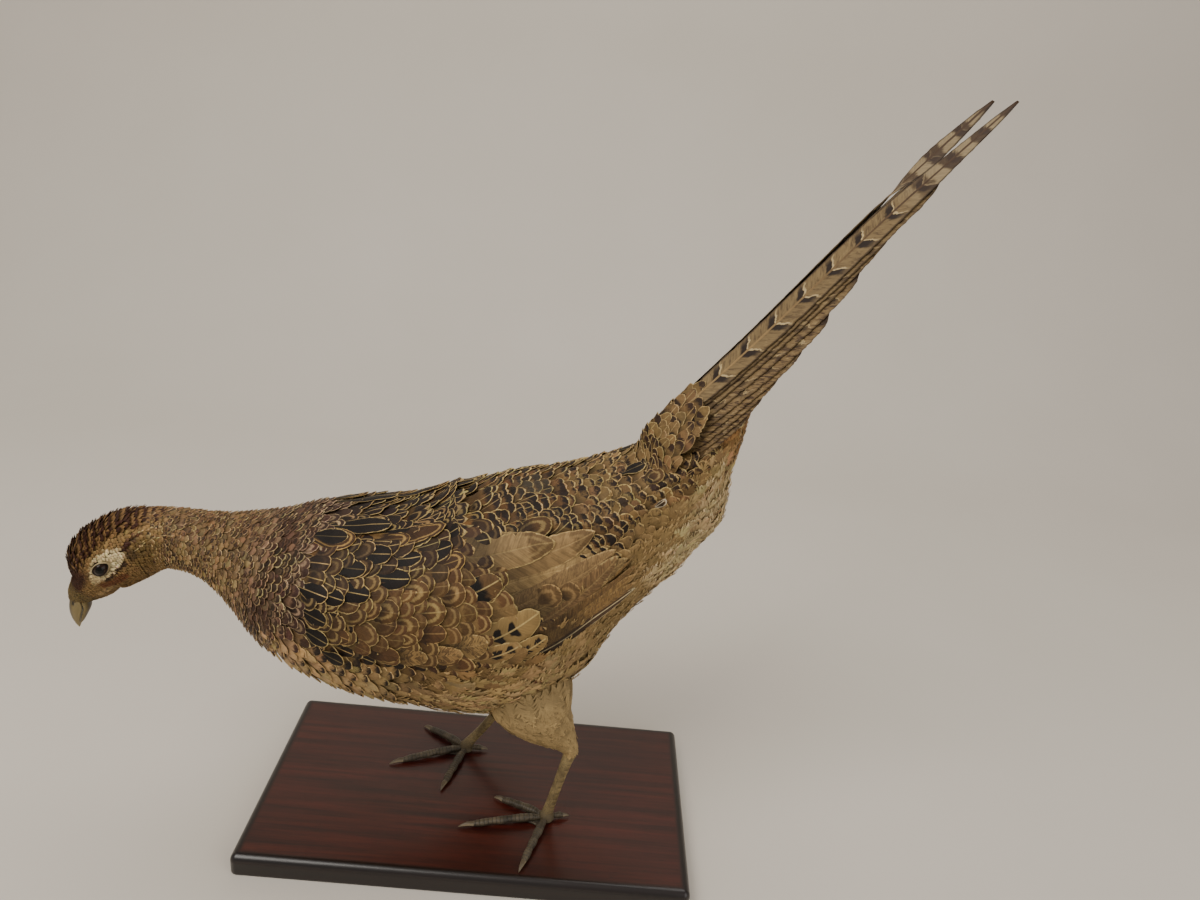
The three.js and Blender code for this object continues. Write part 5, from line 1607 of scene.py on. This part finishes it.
# ---------------------------------------------------------------- eyes and lids
def make_eyes():
    glass = Nodes("glass_eye")
    geo = glass.new("ShaderNodeTexCoord").outputs["Object"]
    r = glass.attr("iris").outputs["Fac"]
    rays = glass.noise(geo, 1800, 2, 0.6)
    iris = glass.mix(rays, lin(22, 13, 8), lin(46, 26, 14))
    col = glass.mix(glass.step(glass.math("MULTIPLY_ADD", glass.sub(rays, 0.5), 0.06, r), 0.40, 0.47), (0.003, 0.0025, 0.002), iris)
    col = glass.mix(glass.step(r, 0.70, 0.80), col, lin(12, 8, 6))
    glass.bump(glass.noise(geo, 300, 1), 0.02, 0.0002)
    eye_mat = glass.done(col, glass.math("MULTIPLY_ADD", rays, 0.02, 0.05), 0.12, Coat_Weight=0.22, Coat_Roughness=0.03, Coat_IOR=1.45)
    lid = Nodes("eyelid_skin")
    geo = lid.new("ShaderNodeTexCoord").outputs["Object"]
    cr = lid.noise(geo, 2600, 3, 0.65)
    f = lid.attr("rim").outputs["Fac"]
    colr = lid.mix(f, lin(40, 30, 23), lin(186, 166, 124))
    colr = lid.scale_rgb(colr, lid.math("MULTIPLY_ADD", lid.sub(cr, 0.5), 0.6, 1.0))
    lid.bump(cr, 0.5, 0.0004)
    lid_mat = lid.done(colr, 0.55, 0.35)
    for s in (-1, 1):
        tag = "left" if s < 0 else "right"
        f = spine(np.array(EYE_T))
        ax, side, up = f[6:9], f[9:12] * s, f[12:15]
        c = EYE_C[s]
        th = np.linspace(0, PI * 0.62, 40)
        ph = np.linspace(0, 2 * PI, 49)[:-1]
        TH, PH = np.meshgrid(th, ph, indexing="ij")
        cornea = 1 + 0.05 * np.exp(-(TH / 0.5) ** 2)
        rr = EYE_R * 0.985 * cornea
        ring = c + (rr * np.cos(TH))[..., None] * side + (rr * np.sin(TH) * np.cos(PH))[..., None] * ax + (rr * np.sin(TH) * np.sin(PH))[..., None] * up
        v, fc = tube(ring)
        me = mesh_from(f"eyeball_{tag}", world(v), fc if s > 0 else fc)
        rad = np.concatenate([np.sin(TH).ravel(), [0.0, 1.0]])
        set_attr(me, "iris", "FLOAT", rad)
        ob = link_object(me.name, me, eye_mat)
        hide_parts(f"eye_{tag}")
        # lids: a rolled rim on the glass, running out under the face feathers
        ph = np.linspace(0, 2 * PI, 97)[:-1]
        q = np.linspace(0, 1, 12)
        Q, PH = np.meshgrid(q, ph, indexing="ij")
        ca, sa = np.cos(PH), np.sin(PH)
        inner_a, inner_b = 3.55, 2.75
        pinch = 1 + 0.10 * np.abs(ca) ** 6
        ra = inner_a * pinch * (1 - Q) + (LID_A + 1.4) * Q
        rb = inner_b * (1 - Q) + (LID_B + 1.4) * Q
        x, y = ra * ca, rb * sa
        glass_h = np.sqrt(np.maximum(EYE_R ** 2 - (inner_a * pinch * ca) ** 2 - (inner_b * sa) ** 2, 0.2))
        skin_h = 1.15 - 0.045 * y ** 2 - 0.012 * x ** 2
        up_roll = 0.5 * np.sin(PI * np.clip(Q / 0.42, 0, 1)) * (1 + 0.25 * (sa > 0))
        h = glass_h * (1 - smooth(Q, 0.08, 0.75)) + skin_h * smooth(Q, 0.08, 0.75) + up_roll * 0.62 - 0.12 * (Q < 0.01)
        lidp = c + x[..., None] * ax + y[..., None] * up + h[..., None] * side
        me = mesh_from(f"eyelids_{tag}", world(lidp.reshape(-1, 3)), grid_faces(len(q), len(ph), True))
        set_attr(me, "rim", "FLOAT", smooth(Q, 0.12, 0.36).ravel())
        link_object(me.name, me, lid_mat)


# ---------------------------------------------------------------- bill
BILL_Y = (-12.6, -14.6)
UPPER_BILL = [[-234.0, 155.0, -226.9, 151.6, 5.0], [-234.6, 149.5, -228.2, 147.3, 4.3], [-234.0, 145.2, -229.2, 143.6, 3.2],
              [-232.6, 141.6, -229.9, 140.8, 1.9], [-231.0, 138.9, -230.3, 138.8, 0.5]]
LOWER_BILL = [[-224.2, 150.3, -226.4, 151.4, 4.3], [-226.0, 146.3, -227.7, 147.1, 3.4], [-227.6, 143.3, -228.7, 143.6, 2.3], [-229.0, 141.4, -229.3, 141.5, 0.5]]


def horn_material(name, pale, dark, edge):
    n = Nodes(name)
    geo = n.new("ShaderNodeTexCoord").outputs["Object"]
    f, s, _ = n.split(n.attr("horn").outputs["Vector"])   # 0 base..1 tip, 0 mouth line..1 ridge
    streak = n.noise(n.vec(n.mul(s, 9.0), n.mul(f, 2.0), 0.4), 1.0, 4.0, 0.6)
    spots = n.noise(geo, 900, 3, 0.6)
    col = n.mix(n.step(n.math("MULTIPLY_ADD", n.sub(streak, 0.5), 0.5, s), 0.45, 0.95), pale, dark)
    col = n.mix(n.mul(n.step(s, 0.16, 0.02), 0.6), col, edge)
    col = n.mix(n.mul(n.step(f, 0.75, 1.0), 0.45), col, edge)
    # painted shade: the nostril slit painted near-black, standing for the dark inside of the opening
    nostril_shade = n.attr("nostril_shade").outputs["Fac"]
    col = n.mix(nostril_shade, col, (0.012, 0.009, 0.006))
    col = n.scale_rgb(col, n.math("MULTIPLY_ADD", n.sub(spots, 0.5), 0.45, 1.0))
    n.bump(n.add(n.mul(streak, 0.6), n.mul(spots, 0.4)), 0.3, 0.0003)
    return n.done(col, n.math("MULTIPLY_ADD", spots, 0.25, 0.30), 0.45)


def make_bill():
    mat = horn_material("bill_horn_grain", lin(116, 100, 62), lin(66, 55, 36), lin(134, 118, 76))
    f0 = spine(np.array(0.0))
    p0, along, side, up = f0[0:3], f0[6:9], f0[9:12], f0[12:15]
    for name, rows, ridge, mouth, half in (("bill_upper", UPPER_BILL, 4.4, -1.9, 5.5), ("bill_lower", LOWER_BILL, -6.2, -2.3, 5.0)):
        base = p0 - along * 0.3
        st = [np.concatenate([base + up * ridge, base + up * mouth, [half]])]
        for i, (rx, rz, mx, mz, w) in enumerate(rows):
            y = BILL_Y[0] + (BILL_Y[1] - BILL_Y[0]) * (i + 1) / len(rows)
            st.append(np.array([rx, y, rz, mx, y, mz, w]))
        st = np.array(st)
        # carried a little way back under the face feathers
        back = st[0].copy()
        back[:3] += along * 3.0 - up * (0.5 if ridge > 0 else -0.5)
        back[3:6] += along * 3.0
        st = np.vstack([back, st])
        s = np.linspace(0, len(st) - 1, 60)
        r = curve(st, s)
        top, line, w = r[:, :3], r[:, 3:6], np.maximum(r[:, 6], 0.3)
        q = np.linspace(-90, 90, 33) * DEG
        sharp = 0.86
        rings = []
        for i in range(len(s)):
            cq = np.cos(q) ** sharp
            sq = np.sign(np.sin(q)) * np.abs(np.sin(q)) ** 1.0
            ring = line[i] + (top[i] - line[i]) * cq[:, None] + side * (w[i] * sq)[:, None]
            inner_q = np.linspace(90, -90, 9)[1:-1] * DEG
            inn = line[i] + (top[i] - line[i]) * (0.10 * np.cos(inner_q))[:, None] + side * (w[i] * 0.96 * np.sin(inner_q))[:, None]
            rings.append(np.vstack([ring, inn]))
        rings = np.array(rings)
        S = np.repeat((s / s[-1])[:, None], rings.shape[1], 1)
        hgt = np.concatenate([np.cos(q), np.zeros(7)])[None, :].repeat(len(s), 0)
        nostril_shade = np.zeros(S.shape)
        if ridge > 0:
            # nostril: a slit under a swollen lid, a third of the way along; its slit is painted near-black, painted
            # shade for the inside of the opening
            for sg in (-1, 1):
                sn = np.concatenate([np.sin(q), np.zeros(7)])[None, :].repeat(len(s), 0) * sg
                dx, dy = (s[:, None] - 1.95) / 0.42, (sn - 0.80) / 0.10
                on = (sn > 0.2)
                slit = np.exp(-(dx ** 2 + dy ** 2)) * on
                swell = np.exp(-((s[:, None] - 1.8) / 0.7) ** 2 - ((sn - 0.62) / 0.20) ** 2) * on
                rings = rings + side * sg * (swell * 0.45 - slit * 0.9)[..., None]
                nostril_shade = np.maximum(nostril_shade, smooth(slit, 0.45, 0.8))
        v, fc = tube(rings)
        me = mesh_from(name + "_horn", world(v), fc)
        ends = lambda x, a, b: np.concatenate([x.ravel(), [a, b]])
        set_attr(me, "horn", "FLOAT_VECTOR", np.stack([ends(S, 0, 1), ends(hgt, 0.3, 0.3), ends(S * 0, 0, 0)], 1))
        set_attr(me, "nostril_shade", "FLOAT", ends(nostril_shade, 0, 0))
        ob = link_object(me.name, me, mat)
        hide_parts(name)


# ---------------------------------------------------------------- shanks, toes, claws
def scaly_material(name, pale, dark, foot=None):
    n = Nodes(name)
    s, th, _ = n.split(n.attr("scute").outputs["Vector"])
    geo = n.new("ShaderNodeTexCoord").outputs["Object"]
    crack = n.math("FRACT", s)
    groove = n.step(n.abs(n.sub(crack, 0.5)), 0.36, 0.49)
    net = n.new("ShaderNodeTexVoronoi", feature="DISTANCE_TO_EDGE")
    n.link(geo, net.inputs["Vector"])
    net.inputs["Scale"].default_value = 900
    cells = n.step(net.outputs["Distance"], 0.10, 0.0)
    front = n.step(th, -0.2, 0.35)
    lines = n.mix(front, cells, groove)
    stain = n.noise(geo, 140, 3, 0.6)
    col = n.mix(n.step(stain, 0.3, 0.72), pale, dark)
    if foot is not None:
        low = n.step(n.math("MULTIPLY_ADD", stain, 0.008, n.split(geo)[2]), 0.031, 0.021)
        col = n.mix(n.mul(low, 0.9), col, foot)
    lw = n.split(lines)[0]
    col = n.mix(n.mul(lw, 0.75), col, np.array(dark) * 0.32)
    fine = n.noise(geo, 2400, 2, 0.6)
    col = n.scale_rgb(col, n.math("MULTIPLY_ADD", n.sub(fine, 0.5), 0.4, 1.0))
    hgt = n.sub(n.mul(fine, 0.25), lw)
    n.bump(hgt, 0.5, 0.00035)
    return n.done(col, n.math("MULTIPLY_ADD", stain, 0.2, 0.38), 0.4)


def limb_mesh(name, at, s, sides, relief, mat, node, scutes, start_cap=0.0):
    th = np.linspace(0, 2 * PI, sides + 1)[:-1]
    S, TH = np.meshgrid(s, th, indexing="ij")
    p, d, ac, fo, wide, deep = at(S)
    ph = (S * scutes) % 1.0
    front = smooth(np.sin(TH), -0.2, 0.5)
    r = relief * ((0.5 - np.abs(ph - 0.5)) * 2) ** 0.5 * front - relief * 0.6
    ring = p + ac * ((wide + r) * np.cos(TH))[..., None] + fo * ((deep + r) * np.sin(TH))[..., None]
    v, f = tube(ring)
    me = mesh_from(name, world(v), f)
    ends = lambda x: np.concatenate([x.ravel(), [0, 0]])
    set_attr(me, "scute", "FLOAT_VECTOR", np.stack([ends(S * scutes), ends(np.sin(TH)), ends(np.cos(TH))], 1))
    ob = link_object(name, me, mat)
    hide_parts(node)
    return ob


def toe_axis(rows):
    """rows: x, y, z, wide, deep; the top of the toe is up"""
    rows = np.asarray(rows, float)

    def at(s):
        r = curve(rows, s)
        e = 0.03
        d = curve(rows, np.clip(s + e, 0, len(rows) - 1))[..., :3] - curve(rows, np.clip(s - e, 0, len(rows) - 1))[..., :3]
        d /= np.maximum(np.linalg.norm(d, axis=-1, keepdims=True), 1e-9)
        ac = np.cross(np.broadcast_to(np.array([0, 0, 1.0]), d.shape), d)
        ac /= np.linalg.norm(ac, axis=-1, keepdims=True)
        fo = np.cross(d, ac)
        return r[..., :3], d, ac, fo, r[..., 3], r[..., 4]
    return at


def make_web(name, fx, fy, floor, a0, a1, mat):
    """the small skin fold between the bases of two toes"""
    i, j = np.meshgrid(np.linspace(0, 1, 19), np.linspace(0, 1, 8), indexing="ij")
    turn = (a1 - a0 + PI) % (2 * PI) - PI
    ang = a0 + turn * i
    bay = np.sin(PI * i) ** 0.7
    r = 1.5 + (13.5 - 6.8 * bay) * j
    ripple = 0.12 * np.sin(9 * PI * i) * j
    top = np.stack([fx + np.cos(ang) * r, fy + np.sin(ang) * r, floor + 2.7 - 1.1 * bay - 0.7 * j + ripple], -1)
    bot = np.stack([fx + np.cos(ang) * r, fy + np.sin(ang) * r, floor + 0.25 + 0 * r], -1)
    ni, nj = i.shape
    idx = np.arange(ni * nj).reshape(ni, nj)
    loop = np.concatenate([idx[:, 0], idx[-1, 1:], idx[-2::-1, -1], idx[0, -2:0:-1]])
    nxt = np.roll(loop, -1)
    f = grid_faces(ni, nj)
    faces = np.vstack([f, f[:, ::-1] + ni * nj, np.stack([loop, loop + ni * nj, nxt + ni * nj, nxt], 1)])
    if turn > 0:
        faces = faces[:, ::-1]
    verts = np.concatenate([top.reshape(-1, 3), bot.reshape(-1, 3)])
    me = mesh_from(name, world(verts), faces)
    both = lambda x: np.concatenate([x.ravel(), x.ravel()])
    set_attr(me, "scute", "FLOAT_VECTOR", np.stack([both(i * 3.0), both(0 * i - 1), both(0 * i)], 1))
    link_object(name, me, mat)


def make_legs():
    shank_mat = scaly_material("shank_scales", lin(164, 143, 98), lin(108, 92, 62), lin(86, 75, 56))
    toe_mat = scaly_material("toe_scales", lin(94, 83, 65), lin(52, 46, 36))
    claw_mat = horn_material("claw_grain", lin(150, 136, 108), lin(84, 72, 55), lin(110, 97, 76))
    R = 2.7
    for name, leg in LEGS.items():
        sg = leg["side"]
        y = FOOT[1] * sg
        at0 = leg_axis(leg["shank"], y)

        def at(s, at0=at0):
            p, d, ac, fo, w, dp = at0(s)
            return p, d, ac, -fo * np.sign(fo[..., :1] * -1 + 1e-9), w, dp
        limb_mesh(f"tarsus_{name}_skin", at, np.linspace(0, 6.98, 200), 28, 0.22, shank_mat, f"tarsus_{name}", 3.4)
        fx, fy = FOOT[0] * sg, y
        floor = PLINTH[2] + 0.3
        angle = {kind: math.atan2(tip[1] - fy, tip[0] - fx) for kind, tip in leg["toes"].items()}
        for k, (one, two) in enumerate((("inner", "middle"), ("middle", "outer"))):
            make_web(f"web_{name}_{k + 1}_skin", fx, fy, floor, angle[one], angle[two], toe_mat)
        for kind, tip in leg["toes"].items():
            dx, dy = tip[0] - fx, tip[1] - fy
            length = math.hypot(dx, dy)
            ux, uy = dx / length, dy / length
            hind = kind == "hind"
            base, nail = (6.2, 9.8) if hind else (6.0, length * 0.82)
            rise = 0.8 if hind else 0.0
            row = lambda r, z, w, dp: [fx + ux * r, fy + uy * r, floor + z + rise, w, dp]
            st = lambda q, w, dp, arch: row(base + (nail - base) * q, dp + arch, w, dp)
            if hind:
                rows = [row(3.0, 1.9, 1.4, 1.6), st(0, 1.6, 1.7, 0), st(0.5, 1.9, 1.8, 0.1), st(1, 1.5, 1.5, -0.2), row(nail + 0.9, 1.35, 0.7, 0.8)]
                claw = [row(nail - 0.6, 1.5, 1.0, 1.0), row(nail + 0.3, 1.5, 1.2, 1.25), row(nail + 2.4, 1.3, 0.85, 0.9), row(nail + 3.6, 0.8, 0.5, 0.55), row(nail + 4.5, 0.3, 0.1, 0.12)]
                scutes = 2.2
            else:
                rows = [row(2.6, 2.4, R * 0.7, R * 0.8), st(0, R * 0.72, R * 0.78, 0.3), st(0.1, R * 0.86, R * 0.9, 0.5), st(0.28, R, R * 0.92, 0.5), st(0.42, R * 0.80, R * 0.78, 1.0),
                        st(0.56, R * 0.96, R * 0.84, 0.4), st(0.7, R * 0.76, R * 0.72, 0.7), st(0.85, R * 0.86, R * 0.76, 0.1), st(1, R * 0.62, R * 0.62, 0), row(nail + 0.9, 1.7, 0.9, 0.9)]
                rest = length - nail
                claw = [row(nail - 0.8, 1.75, 1.15, 1.2), row(nail + 0.3, 1.8, 1.45, 1.5), row(nail + rest * 0.35, 2.1, 1.25, 1.4), row(nail + rest * 0.7, 1.6, 0.85, 0.95), row(nail + rest * 0.9, 0.9, 0.42, 0.5), row(length, 0.35, 0.1, 0.12)]
                scutes = 2.3
            limb_mesh(f"toe_{name}_{kind}_skin", toe_axis(rows), np.linspace(0, len(rows) - 1.02, 30 if hind else 110), 22, 0.20, toe_mat, f"toe_{name}_{kind}", scutes)
            s = np.linspace(0, len(claw) - 1.01, 36)
            th = np.linspace(0, 2 * PI, 19)[:-1]
            S, TH = np.meshgrid(s, th, indexing="ij")
            p, d, ac, fo, w, dp = toe_axis(claw)(S)
            under = 1 - 0.25 * smooth(-np.sin(TH), 0.2, 0.9)
            v, f = tube(p + ac * (w * np.cos(TH))[..., None] + fo * (dp * under * np.sin(TH))[..., None])
            me = mesh_from(f"claw_{name}_{kind}_horn", world(v), f)
            ends = lambda x, a=0.0, b=1.0: np.concatenate([x.ravel(), [a, b]])
            set_attr(me, "horn", "FLOAT_VECTOR", np.stack([ends(S / s[-1]), ends(0.5 + 0.5 * np.sin(TH), 0.5, 0.5), ends(S * 0, 0, 0)], 1))
            ob = link_object(me.name, me, claw_mat)
            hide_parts(f"claw_{name}_{kind}")


# ---------------------------------------------------------------- plinth
def make_plinth():
    L, W, H = PLINTH
    R, CR = PLINTH_ROUND, PLINTH_CORNER
    prof = [(0.8, 0.0), (0.25, 0.15), (0.0, 0.7)] + [(0.0, z) for z in np.linspace(1.6, H - R, 6)]
    prof += [(R - R * math.cos(a), H - R + R * math.sin(a)) for a in np.linspace(0, PI / 2, 17)[1:]]
    prof += [(R + d, H) for d in (0.6, 1.6, 4, 10, 25, 50)]

    def outline(inset):
        r = max(CR - inset, 0.35)
        hx, hy = L / 2 - inset, W / 2 - inset
        pts = []
        for cx, cy, a0 in ((hx - r, hy - r, 0), (-hx + r, hy - r, 90), (-hx + r, -hy + r, 180), (hx - r, -hy + r, 270)):
            for a in np.linspace(a0, a0 + 90, 9) * DEG:
                pts.append([cx + r * math.cos(a), cy + r * math.sin(a)])
            nx = {0: (-hx + r, hy), 90: (-hx, -hy + r), 180: (hx - r, -hy), 270: (hx, hy - r)}[a0]
            last = np.array(pts[-1])
            for q in np.linspace(0, 1, 22)[1:-1]:
                pts.append(list(last + (np.array(nx) - last) * q))
        return np.array(pts)
    rings = np.array([np.column_stack([outline(i), np.full(len(outline(i)), z)]) for i, z in prof])
    v, f = tube(rings)
    me = mesh_from("plinth_board", v / 1000.0, f)
    n = Nodes("mahogany")
    geo = n.new("ShaderNodeTexCoord").outputs["Object"]
    x, yy, z = n.split(geo)
    grain = n.noise(n.vec(n.mul(x, 9.0), n.mul(yy, 240.0), n.mul(z, 240.0)), 1.0, 5.0, 0.62, 0.4)
    pores = n.noise(n.vec(n.mul(x, 110.0), n.mul(yy, 1900.0), n.mul(z, 1900.0)), 1.0, 2.0, 0.5)
    broad = n.noise(n.vec(n.mul(x, 3.0), n.mul(yy, 22.0), n.mul(z, 22.0)), 1.0, 3.0, 0.5, 0.6)
    col = n.mix(n.step(grain, 0.3, 0.72), lin(38, 12, 9), lin(76, 27, 17))
    col = n.mix(n.mul(n.step(broad, 0.35, 0.7), 0.5), col, lin(50, 16, 11))
    col = n.mix(n.mul(n.step(pores, 0.60, 0.70), 0.6), col, lin(24, 9, 7))
    # painted shade: the rounded edge and the sides, turned away from the light above, painted near-black against the
    # red-brown top
    out_x = n.sub(n.abs(x), L / 2000 - 0.0052)
    out_y = n.sub(n.abs(yy), W / 2000 - 0.0052)
    edge = n.math("MAXIMUM", out_x, out_y)
    edge = n.step(n.math("MULTIPLY_ADD", n.sub(grain, 0.5), 0.003, edge), -0.0012, 0.0016)
    col = n.mix(n.mul(edge, 0.93), col, lin(15, 11, 10))
    n.bump(n.add(n.mul(pores, 0.6), n.mul(grain, 0.5)), 0.10, 0.0003)
    mat = n.done(col, n.math("MULTIPLY_ADD", broad, 0.12, 0.27), 0.45, Coat_Weight=0.25, Coat_Roughness=0.22)
    ob = link_object("plinth_board", me, mat, smooth_shade=True)
    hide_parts("plinth")
    return ob


# ---------------------------------------------------------------- stage, light, camera
def make_stage():
    n = Nodes("pale_floor")
    geo = n.new("ShaderNodeTexCoord").outputs["Object"]
    mott = n.noise(geo, 6, 3, 0.5)
    n.bump(n.noise(geo, 500, 2, 0.5), 0.05, 0.0004)
    mat = n.done(n.mix(mott, lin(206, 199, 188), lin(212, 205, 195)), 0.85, 0.2)
    prof = [(-1.6, 0.0), (0.55, 0.0)] + [(0.55 + 0.5 * math.sin(a), 0.5 - 0.5 * math.cos(a)) for a in np.linspace(0, PI / 2, 24)[1:]] + [(1.05, 2.2)]
    xs = np.linspace(-3, 3, 9)
    v = np.array([[x, y, z] for y, z in prof for x in xs])
    me = mesh_from("studio_sweep", v, grid_faces(len(prof), len(xs)))
    ob = bpy.data.objects.new("studio_sweep", me)
    bpy.context.scene.collection.objects.link(ob)
    me.materials.append(mat)
    me.polygons.foreach_set("use_smooth", np.ones(len(me.polygons), bool))


def area_light(name, loc, aim, size, power, colour):
    d = bpy.data.lights.new(name, "AREA")
    d.shape = "RECTANGLE"
    d.size, d.size_y = size
    d.energy = power
    d.color = colour
    ob = bpy.data.objects.new(name, d)
    bpy.context.scene.collection.objects.link(ob)
    from mathutils import Vector
    ob.location = loc
    ob.rotation_euler = (Vector(aim) - Vector(loc)).to_track_quat("-Z", "Y").to_euler()


def make_light_and_camera():
    from mathutils import Matrix
    sc = bpy.context.scene
    w = bpy.data.worlds.new("studio")
    sc.world = w
    w.use_nodes = True
    w.node_tree.nodes["Background"].inputs[0].default_value = (1.0, 0.96, 0.90, 1)
    w.node_tree.nodes["Background"].inputs[1].default_value = 0.42
    area_light("key", (-0.75, -0.75, 1.35), (0.0, 0.0, 0.15), (0.9, 0.9), 17, (1.0, 0.955, 0.89))
    area_light("fill", (1.2, -1.0, 0.8), (0.0, 0.0, 0.2), (1.2, 1.2), 7, (1.0, 0.97, 0.94))
    area_light("top", (0.2, 0.35, 1.5), (0.05, 0.0, 0.2), (1.2, 0.7), 7, (1.0, 0.97, 0.93))
    cam = bpy.data.cameras.new("camera")
    cam.sensor_fit = "HORIZONTAL"
    cam.sensor_width = 36.0
    cam.lens = 26.4
    cam.clip_start, cam.clip_end = 0.02, 20
    ob = bpy.data.objects.new("camera", cam)
    sc.collection.objects.link(ob)
    roll, pitch, yaw = 0.105820002, 0.388044914, 0.0274712411
    fwd = np.array([math.sin(yaw) * math.cos(pitch), math.cos(yaw) * math.cos(pitch), -math.sin(pitch)])
    right = np.array([math.cos(yaw), -math.sin(yaw), 0.0])
    upv = np.cross(right, fwd)
    r = right * math.cos(roll) + upv * math.sin(roll)
    u = -right * math.sin(roll) + upv * math.cos(roll)
    m = Matrix(((r[0], u[0], -fwd[0], 0.0421347088), (r[1], u[1], -fwd[1], -0.433836582), (r[2], u[2], -fwd[2], 0.426790591), (0, 0, 0, 1)))
    ob.matrix_world = m
    sc.camera = ob


def triangles(ob):
    n = np.empty(len(ob.data.polygons), np.int32)
    ob.data.polygons.foreach_get("loop_total", n)
    return int((n - 2).sum())


make_light_and_camera()
make_stage()
make_skin()
head_feathers()
neck_feathers()
body_feathers()
for _side in (-1, 1):
    wing_feathers(_side)
    shown_feathers(_side)
tail_feathers()
tail_coverts()
vent_feathers()
thigh_feathers()
make_eyes()
make_bill()
make_legs()
make_plinth()

bpy.context.view_layer.update()
for _o in PIECES:
    if _o.name.startswith("plume"):
        print("piece", _o.name, triangles(_o))
coat_total = sum(triangles(o) for o in PIECES if o.name.startswith("plume"))
print("triangles: coat", coat_total, "largest", max((triangles(o), o.name) for o in PIECES), "all", sum(triangles(o) for o in PIECES))
